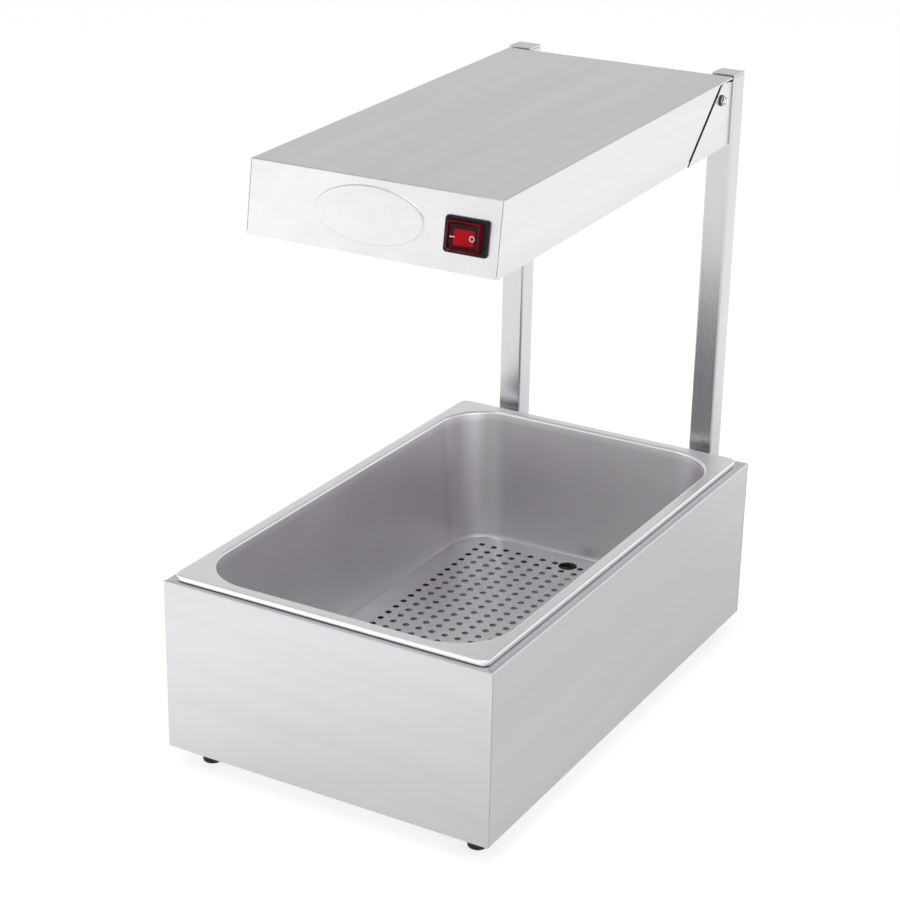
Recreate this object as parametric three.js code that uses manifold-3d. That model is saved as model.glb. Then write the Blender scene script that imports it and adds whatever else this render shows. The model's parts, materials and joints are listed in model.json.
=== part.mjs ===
// Countertop chip warmer: a pan and its drainer plate lift out of a steel cabinet,
// and a heated hood on two posts hangs over them.
// Millimetres, +Z up, -Y towards the user. The origin is on the table, under the middle.

import * as THREE from 'three';
import { mergeVertices } from 'three/addons/utils/BufferGeometryUtils.js';
import Module from 'manifold-3d';

const wasm = await Module();
wasm.setup();

// Clearances that more than one piece uses
const clearance = { seat: 0.3, seam: 0.4, running: 0.15, swing: 0.5, overrun: 5 };

// The pan is a full-size catering pan, and sets the size of the cabinet round it
const pan = {
  length: 530,
  width: 325,
  depth: 150,
  sheet: 0.8,
  rimLand: 12.5,
  edgeDrop: 6.2,
  edgeRound: 1.6,
  edgeCurl: 2.2,
  edgeCorner: 9,
  mouthRound: 3,
  mouthCorner: 55,
  wallLean: 15,
  wallCorner: 45,
  floorFillet: 16,
};
const panSteps = { corner: 6, fillet: 6, round: 3 };

// The drainer plate rests on the fillet round the pan's floor
const drainer = { sheet: 1, pitch: 15, hole: 6.7, fingerHole: 20, margin: 20 };
const drainerSides = { hole: 4, fingerHole: 16 };

// The cabinet's top shows as a ledge of these widths round the pan's rim
const ledge = { side: 7.5, front: 4, rear: 11 };
const cabinet = { height: 170, sheet: 1, bend: 1.8, mouthGap: 2.2, baseUpstand: 20 };
const foot = { height: 22, radius: 10, soleRadius: 9.3, soleRound: 1.6, sideInset: 27, endInset: 31 };
const footScrew = { radius: 2, headRadius: 4, headHeight: 2.4, recess: 8, tail: 6 };

// The posts are square tubes bolted through pads to the cabinet's back
const post = { size: 25, wall: 1.5, corner: 2, span: 252, rise: 398, aboveBase: 15 };
const cap = { thickness: 2, plugDepth: 6 };
const pad = { thickness: 3, margin: 12 };
const backing = { thickness: 4, margin: 14 };
const mountBolt = { radius: 3, headRadius: 6, headHeight: 3.3, fromEnd: 30, tail: 3 };

// The hood turns on two bolts just in front of the posts
const pivot = { ahead: 24.5, belowPostTop: 20.5, belowHoodTop: 18.5 };
const tilt = { rest: 2.1, lift: 8 };
const hood = {
  reach: 440,
  height: 65,
  halfWidth: 124.8,
  sheet: 1.2,
  bend: 1.5,
  slant: 10.4,
  sideLip: 12,
  frontLip: 32,
};
const oval = { across: 107, high: 49, rise: 0.5, fromCentre: -1.5, aboveLip: 34.5 };

// The wings of the bracket finish the hood's sides behind a raked slit
const wing = { sheet: 1.5, rake: 41, lead: 10.5, slit: 7.6, corner: 10, topGap: 0.9, footBelow: 2.5 };
const sideCut = { corner: 5, stripHeight: 1.8 };
const web = { height: 59, topBelow: 4.5, windowWidth: 50, windowHeight: 34, windowUp: 6 };
const webScrew = { radius: 2.5, headRadius: 4.6, headHeight: 2.6, fromEnd: 12, tail: 9 };
const pivotBolt = { radius: 3, headRadius: 5.8, headHeight: 4 };
const pivotWasher = { radius: 5.5, thickness: 1 };
const capNut = { hexRadius: 4.8, hexHeight: 2.8, domeRadius: 3.7, domeHeight: 2.2, wall: 0.6 };
const ear = { sheet: 2, reach: 116, padLength: 22, top: -12, eye: 13.5 };
const rearPanel = { sheet: 1, ahead: 22 };

// Heating parts in the hood
const reflector = { sheet: 0.8, front: 415, rear: 118, topHalf: 70, mouthHalf: 104, rise: 37, flange: 17 };
const lamp = { radius: 6, apart: 76, drop: 18 };
const holder = { width: 18, height: 20, length: 16, socket: 5 };
const guard = { rod: 1.5, apart: 27, innerShare: 0.34, lap: 4 };
const terminals = { width: 42, depth: 20, height: 15, screwRadius: 2.6, screwRise: 1, ways: 3, ahead: 82 };
const gland = {
  thread: 8,
  hexRadius: 12,
  hexHeight: 5,
  capRadius: 10,
  capLength: 13,
  bore: 4.5,
  belowPivot: 16,
};
const glandNut = { radius: 12, thickness: 4.5 };
const wire = { radius: 1.3, apart: 8, bend: 5, step: 6 };

// The switch stands in the hood's front, turned so that it rocks left and right
const switchSize = {
  width: 41,
  height: 31.2,
  proud: 4,
  flange: 1.8,
  bodyWidth: 30,
  bodyHeight: 22.6,
  bodyDepth: 17,
  corner: 2.8,
  chamfer: 1.2,
  fromCentre: 93,
  aboveLip: 31.7,
};
const rockerSize = {
  width: 25.5,
  height: 19.4,
  endRise: 6.6,
  middleRise: 5,
  root: 5,
  pin: 1.2,
  pinLength: 0.8,
};
const rockerTilt = 10;
const rockerWell = { depth: 9, endGap: 1.1, sideGap: 0.4 };
const boot = { width: 32, height: 25.2, sheet: 0.7, foot: 2.6, rise: 10, corner: 4, shoulder: 2.4 };

// Numbers of flat sides on round pieces
const sides = { foot: 16, screw: 10, bolt: 16, hex: 6, wire: 6, rod: 6, lamp: 12, oval: 32, tiny: 8 };
const arcSteps = { bend: 3, corner: 6, dome: 3 };

// Sizes that follow from those above
const radians = THREE.MathUtils.degToRad;
const cabinetWidth = pan.width + 2 * ledge.side;
const cabinetDepth = pan.length + ledge.front + ledge.rear;
const cabinetBottom = foot.height;
const cabinetTop = cabinetBottom + cabinet.height;
const rimTop = cabinetTop + clearance.seat + pan.edgeDrop;
const panMiddle = ledge.front + pan.length / 2;
const padFront = cabinetDepth + clearance.seat;
const postFront = padFront + pad.thickness + clearance.seat;
const postBack = postFront + post.size;
const postTop = cabinetTop + post.rise;
const postMiddleX = (post.span - post.size) / 2;
const overallDepth = postBack + clearance.seat + mountBolt.headHeight;
const pivotY = postFront - pivot.ahead;
const pivotZ = postTop - pivot.belowPostTop;

// Places in the hood's own frame, which has its origin on the pivot line
const hoodTop = pivot.belowHoodTop;
const hoodBottom = hoodTop - hood.height;
const hoodInside = hood.halfWidth - hood.sheet;
const lifted = radians(tilt.rest - tilt.lift);
const sheetRear = (pivot.ahead - clearance.swing + hoodTop * Math.sin(lifted)) / Math.cos(lifted);
const fasciaFoot = -hood.reach - hood.height * Math.tan(radians(hood.slant));
const slopeHeight = hood.height / Math.cos(radians(hood.slant));
const lipTop = hoodBottom + hood.sheet;
const guardTop = lipTop + clearance.seat + 2 * guard.rod;
const reflectorFoot = guardTop + clearance.seat;
const reflectorTop = reflectorFoot + reflector.rise;
const lampHeight = reflectorTop - lamp.drop;
const wingOutside = hoodInside - clearance.seat;
const wingInside = wingOutside - wing.sheet;
const earOutside = wingInside - clearance.seat;
const earInside = earOutside - ear.sheet;
const rearPanelFront = -rearPanel.ahead;
const coverBottom = lipTop + clearance.seat;
const coverTop = coverBottom + rearPanel.sheet;

// Finishes
const brushed = { color: 0xc9c8cd, roughness: 0.34, metalness: 1 };
const blackened = { color: 0x1f1f22, roughness: 0.5, metalness: 0 };
const drawn = { color: 0xb9b7ba, roughness: 0.28, metalness: 1 };
const bright = { color: 0xd8d8dc, roughness: 0.18, metalness: 1 };
const blackRubber = { color: 0x141416, roughness: 0.75, metalness: 0 };
const blackNylon = { color: 0x1b1b1e, roughness: 0.45, metalness: 0 };
const redRocker = { color: 0xc30f1c, roughness: 0.3, metalness: 0 };
const redBoot = { color: 0x7c1218, roughness: 0.2, metalness: 0 };
const ceramic = { color: 0xe9e4d6, roughness: 0.7, metalness: 0 };
const quartz = { color: 0xe6d9cf, roughness: 0.12, metalness: 0 };
const wireSleeve = { color: 0xd8cfc0, roughness: 0.6, metalness: 0 };

// Meshes as closed solids

function closedGeometry(source) {
  const bare = new THREE.BufferGeometry();
  bare.setAttribute('position', source.getAttribute('position').clone());
  if (source.index) bare.setIndex(source.index.clone());
  const merged = mergeVertices(bare);
  const index = merged.index.array;
  const place = merged.getAttribute('position');
  const corners = [0, 1, 2].map(() => new THREE.Vector3());
  const kept = [];
  let volume = 0;
  for (let i = 0; i < index.length; i += 3) {
    const [a, b, c] = [index[i], index[i + 1], index[i + 2]];
    if (a === b || b === c || c === a) continue;
    kept.push(a, b, c);
    corners.forEach((corner, k) => corner.fromBufferAttribute(place, index[i + k]));
    volume += corners[0].dot(corners[1].clone().cross(corners[2]));
  }
  if (volume < 0) kept.reverse();
  merged.setIndex(kept);
  return merged;
}

function toSolid(geometry) {
  const closed = closedGeometry(geometry);
  const vertProperties = new Float32Array(closed.getAttribute('position').array);
  const triVerts = new Uint32Array(closed.index.array);
  return new wasm.Manifold(new wasm.Mesh({ numProp: 3, vertProperties, triVerts }));
}

function fromSolid(solid) {
  const mesh = solid.getMesh();
  const geometry = new THREE.BufferGeometry();
  geometry.setAttribute('position', new THREE.BufferAttribute(new Float32Array(mesh.vertProperties), 3));
  geometry.setIndex(new THREE.BufferAttribute(new Uint32Array(mesh.triVerts), 1));
  return geometry;
}

function cut(body, ...tools) {
  return fromSolid(tools.reduce((left, tool) => left.subtract(toSolid(tool)), toSolid(body)));
}

function join(...pieces) {
  return fromSolid(pieces.map(toSolid).reduce((sum, piece) => sum.add(piece)));
}

function common(first, second) {
  return fromSolid(toSolid(first).intersect(toSolid(second)));
}

// Plain shapes

function boxBetween(x0, x1, y0, y1, z0, z1) {
  const box = new THREE.BoxGeometry(x1 - x0, y1 - y0, z1 - z0);
  box.translate((x0 + x1) / 2, (y0 + y1) / 2, (z0 + z1) / 2);
  return box;
}

function rodBetween(from, to, radius, facets) {
  const along = to.clone().sub(from);
  const rod = new THREE.CylinderGeometry(radius, radius, along.length(), facets);
  const turn = new THREE.Quaternion().setFromUnitVectors(THREE.Object3D.DEFAULT_UP, along.normalize());
  rod.applyQuaternion(turn);
  const middle = from.clone().add(to).divideScalar(2);
  return rod.translate(middle.x, middle.y, middle.z);
}

function point(x, y, z) {
  return new THREE.Vector3(x, y, z);
}

// A profile of [radius, height] pairs turned about an axis that starts at a place
function turned(profile, facets, place, direction) {
  const lathe = new THREE.LatheGeometry(profile.map(([r, h]) => new THREE.Vector2(r, h)), facets);
  lathe.applyQuaternion(new THREE.Quaternion().setFromUnitVectors(THREE.Object3D.DEFAULT_UP, direction));
  return lathe.translate(place.x, place.y, place.z);
}

// An outline whose corners [u, v, radius] are rounded by arcs
function roundedOutline(corners, steps) {
  const outline = [];
  corners.forEach(([u, v, radius = 0], i) => {
    const here = new THREE.Vector2(u, v);
    if (radius === 0) {
      outline.push(here);
      return;
    }
    const before = new THREE.Vector2(...corners.at(i - 1)).sub(here).normalize();
    const after = new THREE.Vector2(...corners[(i + 1) % corners.length]).sub(here).normalize();
    const half = Math.acos(THREE.MathUtils.clamp(before.dot(after), -1, 1)) / 2;
    const centre = before.clone().add(after).normalize().multiplyScalar(radius / Math.sin(half)).add(here);
    const start = before.multiplyScalar(radius / Math.tan(half)).add(here).sub(centre);
    const end = after.multiplyScalar(radius / Math.tan(half)).add(here).sub(centre);
    const sweep = Math.atan2(start.cross(end), start.dot(end));
    for (let k = 0; k <= steps; k += 1) {
      outline.push(start.clone().rotateAround(new THREE.Vector2(), (sweep * k) / steps).add(centre));
    }
  });
  return outline;
}

function rectangleCorners(u0, u1, v0, v1, radius = 0) {
  return [[u0, v0, radius], [u1, v0, radius], [u1, v1, radius], [u0, v1, radius]];
}

function extruded(outline, depth, holes = []) {
  const shape = new THREE.Shape(outline);
  shape.holes = holes.map((hole) => new THREE.Path(hole));
  return new THREE.ExtrudeGeometry(shape, { depth, bevelEnabled: false });
}

// Outline in Y and Z, carried along X
function alongX(outline, x0, x1) {
  const turn = new THREE.Matrix4().makeBasis(point(0, 1, 0), point(0, 0, 1), point(1, 0, 0));
  return extruded(outline, x1 - x0).applyMatrix4(turn).translate(x0, 0, 0);
}

// Outline in X and Z, carried along Y
function alongY(outline, y0, y1) {
  const turn = new THREE.Matrix4().makeBasis(point(1, 0, 0), point(0, 0, 1), point(0, -1, 0));
  return extruded(outline, y1 - y0).applyMatrix4(turn).translate(0, y1, 0);
}

// Outline in X and Y, carried along Z
function alongZ(outline, z0, z1, holes = []) {
  return extruded(outline, z1 - z0, holes).translate(0, 0, z0);
}

// A skin through rings of equal point counts, closed by a fan at each end
function lofted(rings) {
  const count = rings[0].length;
  const positions = rings.flat().flatMap((p) => [p.x, p.y, p.z]);
  const index = [];
  for (let ring = 0; ring < rings.length - 1; ring += 1) {
    for (let k = 0; k < count; k += 1) {
      const a = ring * count + k;
      const b = ring * count + ((k + 1) % count);
      index.push(a, b, b + count, a, b + count, a + count);
    }
  }
  [0, rings.length - 1].forEach((ring) => {
    const middle = rings[ring].reduce((sum, p) => sum.add(p), point(0, 0, 0)).divideScalar(count);
    const hub = positions.length / 3;
    positions.push(middle.x, middle.y, middle.z);
    for (let k = 0; k < count; k += 1) {
      const edge = [ring * count + k, ring * count + ((k + 1) % count)];
      index.push(hub, ...(ring === 0 ? edge.reverse() : edge));
    }
  });
  const geometry = new THREE.BufferGeometry();
  geometry.setAttribute('position', new THREE.Float32BufferAttribute(positions, 3));
  geometry.setIndex(index);
  return geometry;
}

function meshOf(name, geometry, finish) {
  const mesh = new THREE.Mesh(closedGeometry(geometry), new THREE.MeshStandardMaterial(finish));
  mesh.name = name;
  return mesh;
}

const bothSides = [['left', -1], ['right', 1]];
const bothEnds = [['front', -1], ['rear', 1]];

// Cabinet

// Section of a panel whose top is folded inwards to a ledge: U from its outer face, V up
function foldedProfile(land) {
  const { height, sheet, bend } = cabinet;
  return roundedOutline([
    [0, 0],
    [0, height, bend],
    [land, height],
    [land, height - sheet],
    [sheet, height - sheet, bend - sheet],
    [sheet, 0],
  ], arcSteps.bend);
}

// How far from the cabinet's end the mitre of a ledge lies, at a distance from its side
function mitreAt(land, end, fromSide) {
  const { sheet } = cabinet;
  return sheet + (fromSide * (land[end] - sheet)) / (land.side + clearance.seam);
}

function endPanel(land, end) {
  const half = cabinetWidth / 2;
  const ledgeHalf = half - land.side - clearance.seam;
  const depth = land[end];
  const trimmed = [
    [-half, 0],
    [half, 0],
    [half, cabinet.sheet],
    [ledgeHalf, depth],
    [-ledgeHalf, depth],
    [-half, cabinet.sheet],
  ].map(([x, y]) => new THREE.Vector2(x, y));
  const panel = common(alongX(foldedProfile(depth), -half, half), alongZ(trimmed, 0, cabinet.height));
  return panel.translate(0, 0, cabinetBottom);
}

function sidePanel(land) {
  const { sheet, height } = cabinet;
  const outside = cabinetWidth / 2;
  const along = (end, fromSide) => mitreAt(land, end, fromSide) + clearance.seam;
  const start = sheet + clearance.seam;
  const trimmed = [
    [0, start],
    [sheet, along('front', sheet)],
    [land.side, along('front', land.side)],
    [land.side, cabinetDepth - along('rear', land.side)],
    [sheet, cabinetDepth - along('rear', sheet)],
    [0, cabinetDepth - start],
  ].map(([fromSide, y]) => new THREE.Vector2(fromSide, y));
  const profile = alongY(foldedProfile(land.side), start, cabinetDepth - start);
  const left = common(profile, alongZ(trimmed, 0, height));
  return left.translate(-outside, 0, cabinetBottom);
}

function cabinetPanels() {
  const mouth = pan.rimLand - pan.sheet - cabinet.mouthGap;
  const land = { side: ledge.side + mouth, front: ledge.front + mouth, rear: ledge.rear + mouth };
  const turnedBack = new THREE.Matrix4().makeScale(1, -1, 1);
  const back = endPanel(land, 'rear').applyMatrix4(turnedBack).translate(0, cabinetDepth, 0);
  const left = sidePanel(land);
  const right = left.clone().applyMatrix4(new THREE.Matrix4().makeScale(-1, 1, 1));
  return [
    meshOf('cabinet_front', endPanel(land, 'front'), brushed),
    meshOf('cabinet_back', cut(back, ...backHoles()), brushed),
    meshOf('cabinet_side_left', left, brushed),
    meshOf('cabinet_side_right', right, brushed),
  ];
}

function mountHeights() {
  const foundation = cabinetBottom + post.aboveBase;
  return [foundation + mountBolt.fromEnd, cabinetTop - mountBolt.fromEnd];
}

function backHoles() {
  return bothSides.flatMap(([, sign]) => mountHeights().map((z) => {
    const x = sign * postMiddleX;
    const from = point(x, cabinetDepth - cabinet.sheet - clearance.overrun, z);
    const to = point(x, cabinetDepth + clearance.overrun, z);
    return rodBetween(from, to, mountBolt.radius + clearance.seat, sides.screw);
  }));
}

function cabinetBase() {
  const gap = cabinet.sheet + clearance.seat;
  const [x1, y0, y1] = [cabinetWidth / 2 - gap, gap, cabinetDepth - gap];
  const z0 = cabinetBottom;
  const tray = boxBetween(-x1, x1, y0, y1, z0, z0 + cabinet.baseUpstand);
  const s = cabinet.sheet;
  const past = clearance.overrun;
  const inside = boxBetween(-x1 + s, x1 - s, y0 + s, y1 - s, z0 + s, z0 + cabinet.baseUpstand + past);
  const holeRadius = footScrew.radius + clearance.running;
  const holes = footPlaces().map(({ x, y }) => {
    return rodBetween(point(x, y, z0 - past), point(x, y, z0 + past), holeRadius, sides.screw);
  });
  return meshOf('cabinet_base', cut(tray, inside, ...holes), brushed);
}

// Feet

function footPlaces() {
  return bothEnds.flatMap(([end, way]) => bothSides.map(([side, sign]) => ({
    name: `${end}_${side}`,
    x: sign * (cabinetWidth / 2 - foot.sideInset),
    y: cabinetDepth / 2 + way * (cabinetDepth / 2 - foot.endInset),
  })));
}

function feet() {
  const hole = footScrew.radius + clearance.running;
  const recess = footScrew.headRadius + clearance.seat;
  const top = foot.height - clearance.seat;
  const headSeat = footScrew.recess;
  const rubber = [
    [hole, top],
    [hole, headSeat],
    [recess, headSeat],
    [recess, 0],
    [foot.soleRadius - foot.soleRound, 0],
    [foot.soleRadius, foot.soleRound],
    [foot.radius, top],
    [hole, top],
  ];
  const shankTop = cabinetBottom + cabinet.sheet + footScrew.tail;
  const headTop = headSeat - clearance.seat;
  const screw = [
    [0, headTop - footScrew.headHeight],
    [footScrew.headRadius, headTop - footScrew.headHeight],
    [footScrew.headRadius, headTop],
    [footScrew.radius, headTop],
    [footScrew.radius, shankTop],
    [0, shankTop],
  ];
  const up = point(0, 0, 1);
  return footPlaces().flatMap(({ name, x, y }) => [
    meshOf(`foot_${name}`, turned(rubber, sides.foot, point(x, y, 0), up), blackRubber),
    meshOf(`foot_screw_${name}`, turned(screw, sides.screw, point(x, y, 0), up), bright),
  ]);
}

// Pan

function panRing(inset, drop, corner) {
  const [x, y] = [pan.width / 2 - inset, pan.length / 2 - inset];
  const outline = roundedOutline(rectangleCorners(-x, x, -y, y, corner), panSteps.corner);
  return outline.map((p) => point(p.x, p.y + panMiddle, rimTop - drop));
}

// How far in, how far down and how round the pan's inner skin is, from the mouth to the floor
function panInside() {
  const quarter = Math.PI / 2;
  const stations = [];
  for (let k = 0; k <= panSteps.round; k += 1) {
    const turn = (quarter * k) / panSteps.round;
    stations.push({
      inset: pan.rimLand - pan.mouthRound * (1 - Math.sin(turn)),
      drop: pan.mouthRound * (1 - Math.cos(turn)),
      corner: pan.mouthCorner + pan.mouthRound * (1 - Math.sin(turn)),
    });
  }
  for (let k = 0; k <= panSteps.fillet; k += 1) {
    const turn = (quarter * k) / panSteps.fillet;
    const inwards = pan.floorFillet * (1 - Math.cos(turn));
    stations.push({
      inset: pan.rimLand + pan.wallLean + inwards,
      drop: pan.depth - pan.sheet - pan.floorFillet * (1 - Math.sin(turn)),
      corner: pan.wallCorner - inwards,
    });
  }
  return stations;
}

// The inner skin halfway up the fillet, where the drainer plate rests
function drainerSeat() {
  return panInside()[panSteps.round + 1 + panSteps.fillet / 3];
}

function gnPan() {
  const inside = panInside();
  const { sheet, edgeRound, edgeCurl, edgeDrop, edgeCorner } = pan;
  const straight = edgeDrop - edgeCurl;
  const within = edgeCurl - sheet;
  const edge = [
    [edgeRound, 0],
    [edgeRound * (1 - Math.SQRT1_2), edgeRound * (1 - Math.SQRT1_2)],
    [0, edgeRound],
    [0, straight],
    [edgeCurl * (1 - Math.SQRT1_2), edgeDrop - edgeCurl * (1 - Math.SQRT1_2)],
    [edgeCurl, edgeDrop],
    [edgeCurl, edgeDrop - sheet],
    [sheet + within * (1 - Math.SQRT1_2), straight + within * Math.SQRT1_2],
    [sheet, straight],
    [sheet, edgeRound],
    [edgeRound, sheet],
  ];
  const rings = [
    ...inside.toReversed().map((s) => panRing(s.inset, s.drop, s.corner)),
    ...edge.map(([inset, drop]) => panRing(inset, drop, edgeCorner - inset)),
    ...inside.map((s) => outerRing(s)),
  ];
  return meshOf('gn_pan', lofted(rings), drawn);
}

// The outer skin lies one sheet outside the inner one, square to it
function outerRing(station) {
  const { sheet } = pan;
  if (station.drop <= pan.mouthRound) {
    const lean = (station.corner - pan.mouthCorner) / pan.mouthRound;
    const level = THREE.MathUtils.clamp(1 - station.drop / pan.mouthRound, 0, 1);
    const across = sheet * Math.sin(Math.acos(level));
    const down = sheet * level;
    return panRing(station.inset - across, station.drop + down, station.corner + sheet * (1 - lean));
  }
  const sine = 1 - (pan.depth - sheet - station.drop) / pan.floorFillet;
  const down = sheet * sine;
  const across = sheet * Math.sqrt(Math.max(0, 1 - sine * sine));
  return panRing(station.inset - across, station.drop + down, station.corner + across);
}

function drainerPlate() {
  const seat = drainerSeat();
  const [x, y] = [pan.width / 2, pan.length / 2].map((half) => half - seat.inset - clearance.seat);
  const corner = seat.corner - clearance.seat;
  const outline = roundedOutline(rectangleCorners(-x, x, -y, y, corner), panSteps.corner);
  const columns = Math.floor((x - drainer.margin) / drainer.pitch);
  const rows = Math.floor((y - drainer.margin) / drainer.pitch);
  const holes = [];
  for (let row = -rows; row <= rows; row += 1) {
    for (let column = -columns; column <= columns; column += 1) {
      const finger = column === 0 && Math.abs(row) === rows;
      const size = finger ? drainer.fingerHole : drainer.hole;
      const facets = finger ? drainerSides.fingerHole : drainerSides.hole;
      holes.push(circleOutline(column * drainer.pitch, row * drainer.pitch, size / 2, size / 2, facets));
    }
  }
  const underside = rimTop - seat.drop;
  const plate = alongZ(outline, underside, underside + drainer.sheet, holes);
  return meshOf('drainer_plate', plate.translate(0, panMiddle, 0), brushed);
}

function circleOutline(u, v, across, high, facets) {
  const outline = [];
  for (let k = 0; k < facets; k += 1) {
    const turn = (2 * Math.PI * k) / facets;
    outline.push(new THREE.Vector2(u + across * Math.cos(turn), v + high * Math.sin(turn)));
  }
  return outline;
}

// Posts and what holds them to the cabinet

function posts() {
  const foundation = cabinetBottom + post.aboveBase;
  const tubeTop = postTop - cap.thickness - clearance.seat;
  const half = post.size / 2;
  const bore = half - post.wall;
  const middleY = postFront + half;
  return bothSides.flatMap(([side, sign]) => {
    const x = sign * postMiddleX;
    const outer = roundedOutline(rectangleCorners(-half, half, -half, half, post.corner), arcSteps.bend);
    const inner = rectangleCorners(-bore, bore, -bore, bore).map(([u, v]) => new THREE.Vector2(u, v));
    const tube = alongZ(outer, foundation, tubeTop, [inner]).translate(x, middleY, 0);
    const bolts = mountHeights().map((z) => rodBetween(
      point(x, postFront - clearance.overrun, z),
      point(x, postBack + clearance.overrun, z),
      mountBolt.radius + clearance.running,
      sides.bolt,
    ));
    const screws = webScrewHeights().map((z) => rodBetween(
      point(x, postFront - clearance.overrun, z),
      point(x, middleY, z),
      webScrew.radius + clearance.running,
      sides.screw,
    ));
    const plug = bore - clearance.seat;
    const lid = join(
      alongZ(outer, postTop - cap.thickness, postTop),
      boxBetween(-plug, plug, -plug, plug, postTop - cap.thickness - cap.plugDepth, postTop - cap.thickness),
    );
    return [
      meshOf(`post_${side}`, cut(tube, ...bolts, ...screws), brushed),
      meshOf(`post_cap_${side}`, lid.translate(x, middleY, 0), brushed),
    ];
  });
}

function postMountings() {
  const foundation = cabinetBottom + post.aboveBase;
  const half = post.size / 2;
  const [lowest, highest] = mountHeights();
  const backFace = cabinetDepth - cabinet.sheet - clearance.seat;
  return bothSides.flatMap(([side, sign]) => {
    const x = sign * postMiddleX;
    const holes = mountHeights().map((z) => rodBetween(
      point(x, backFace - backing.thickness - clearance.overrun, z),
      point(x, postBack, z),
      mountBolt.radius + clearance.running,
      sides.bolt,
    ));
    const spacer = boxBetween(
      x - half,
      x + half,
      padFront,
      padFront + pad.thickness,
      foundation,
      highest + pad.margin,
    );
    const strap = boxBetween(
      x - half,
      x + half,
      backFace - backing.thickness,
      backFace,
      lowest - backing.margin,
      highest + backing.margin,
    );
    return [
      meshOf(`post_pad_${side}`, cut(spacer, ...holes), brushed),
      meshOf(`post_backing_${side}`, cut(strap, ...holes), brushed),
    ];
  });
}

function mountBolts() {
  const seat = clearance.seat;
  const reach = postBack - (cabinetDepth - cabinet.sheet - seat - backing.thickness) + mountBolt.tail;
  const crown = mountBolt.headRadius * Math.SQRT1_2;
  const profile = [
    [0, -seat - mountBolt.headHeight],
    [crown, -seat - mountBolt.headHeight],
    [mountBolt.headRadius, -seat - mountBolt.headHeight / 2],
    [mountBolt.headRadius, -seat],
    [mountBolt.radius, -seat],
    [mountBolt.radius, reach],
    [0, reach],
  ];
  return bothSides.flatMap(([side, sign]) => mountHeights().map((z, level) => {
    const place = point(sign * postMiddleX, postBack, z);
    const name = `post_bolt_${['lower', 'upper'][level]}_${side}`;
    return meshOf(name, turned(profile, sides.bolt, place, point(0, -1, 0)), bright);
  }));
}

// Bracket between the posts and the hood

// Straight through a point lead away from the pivot line, raked up to the rear
function rakedLine(lead) {
  const rake = radians(wing.rake);
  return {
    atHeight: (z) => (z - lead / Math.cos(rake)) / Math.tan(rake),
    atPlace: (y) => y * Math.tan(rake) + lead / Math.cos(rake),
  };
}

// Height of the hood's top sheet's underside at full lift, seen in the resting hood's frame
function liftedSheetHeight(y) {
  const turn = radians(tilt.lift);
  return (hoodTop - hood.sheet - y * Math.sin(turn)) / Math.cos(turn);
}

function wingOutline() {
  const edge = rakedLine(wing.lead);
  const rear = pivot.ahead + clearance.overrun;
  const slope = (liftedSheetHeight(rear) - liftedSheetHeight(0)) / rear;
  const topAt = (y) => liftedSheetHeight(0) - wing.topGap + slope * y;
  const rake = Math.tan(radians(wing.rake));
  const cornerY = (topAt(0) - edge.atPlace(0)) / (rake - slope);
  const foot = hoodBottom - wing.footBelow;
  return roundedOutline([
    [edge.atHeight(foot), foot],
    [rear, foot],
    [rear, topAt(rear)],
    [cornerY, topAt(cornerY), wing.corner],
  ], arcSteps.corner);
}

function inHoodFrame(geometry) {
  const turn = new THREE.Matrix4().makeRotationX(radians(tilt.rest));
  return geometry.applyMatrix4(turn).translate(0, pivotY, pivotZ);
}

function webScrewHeights() {
  const top = pivotZ + hoodTop - web.topBelow;
  return [top - webScrew.fromEnd, top - web.height + webScrew.fromEnd];
}

function hoodBracket() {
  const rear = postFront - clearance.seat;
  const front = rear - wing.sheet;
  const outline = wingOutline();
  const wings = bothSides.map(([, sign]) => {
    const [x0, x1] = [sign * wingInside, sign * wingOutside].sort((a, b) => a - b);
    return inHoodFrame(alongX(outline, x0, x1));
  });
  const top = pivotZ + hoodTop - web.topBelow;
  const bottom = top - web.height;
  const plate = boxBetween(-wingOutside, wingOutside, front, rear, bottom, top);
  const past = clearance.overrun;
  const farBehind = rear + 2 * past + pivot.ahead;
  const behind = boxBetween(-hood.halfWidth, hood.halfWidth, rear, farBehind, 0, postTop);
  const windowX = web.windowWidth / 2;
  const windowZ = bottom + web.windowUp;
  const windowTop = windowZ + web.windowHeight;
  const opening = boxBetween(-windowX, windowX, front - past, rear + past, windowZ, windowTop);
  const screws = bothSides.flatMap(([, sign]) => webScrewHeights().map((z) => rodBetween(
    point(sign * postMiddleX, front - past, z),
    point(sign * postMiddleX, rear + past, z),
    webScrew.radius + clearance.running,
    sides.screw,
  )));
  const pivotHole = rodBetween(
    point(-hood.halfWidth, pivotY, pivotZ),
    point(hood.halfWidth, pivotY, pivotZ),
    pivotBolt.radius + clearance.running,
    sides.bolt,
  );
  return meshOf('hood_bracket', cut(join(plate, ...wings), behind, opening, pivotHole, ...screws), brushed);
}

function bracketScrews() {
  const headSeat = postFront - clearance.seat - wing.sheet - clearance.seat;
  const { radius, headRadius, headHeight, tail } = webScrew;
  const profile = [
    [0, -headHeight],
    [headRadius * Math.SQRT1_2, -headHeight],
    [headRadius, -headHeight / 2],
    [headRadius, 0],
    [radius, 0],
    [radius, tail],
    [0, tail],
  ];
  return bothSides.flatMap(([side, sign]) => webScrewHeights().map((z, level) => {
    const place = point(sign * postMiddleX, headSeat, z);
    const name = `bracket_screw_${['upper', 'lower'][level]}_${side}`;
    return meshOf(name, turned(profile, sides.screw, place, point(0, 1, 0)), bright);
  }));
}

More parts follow.
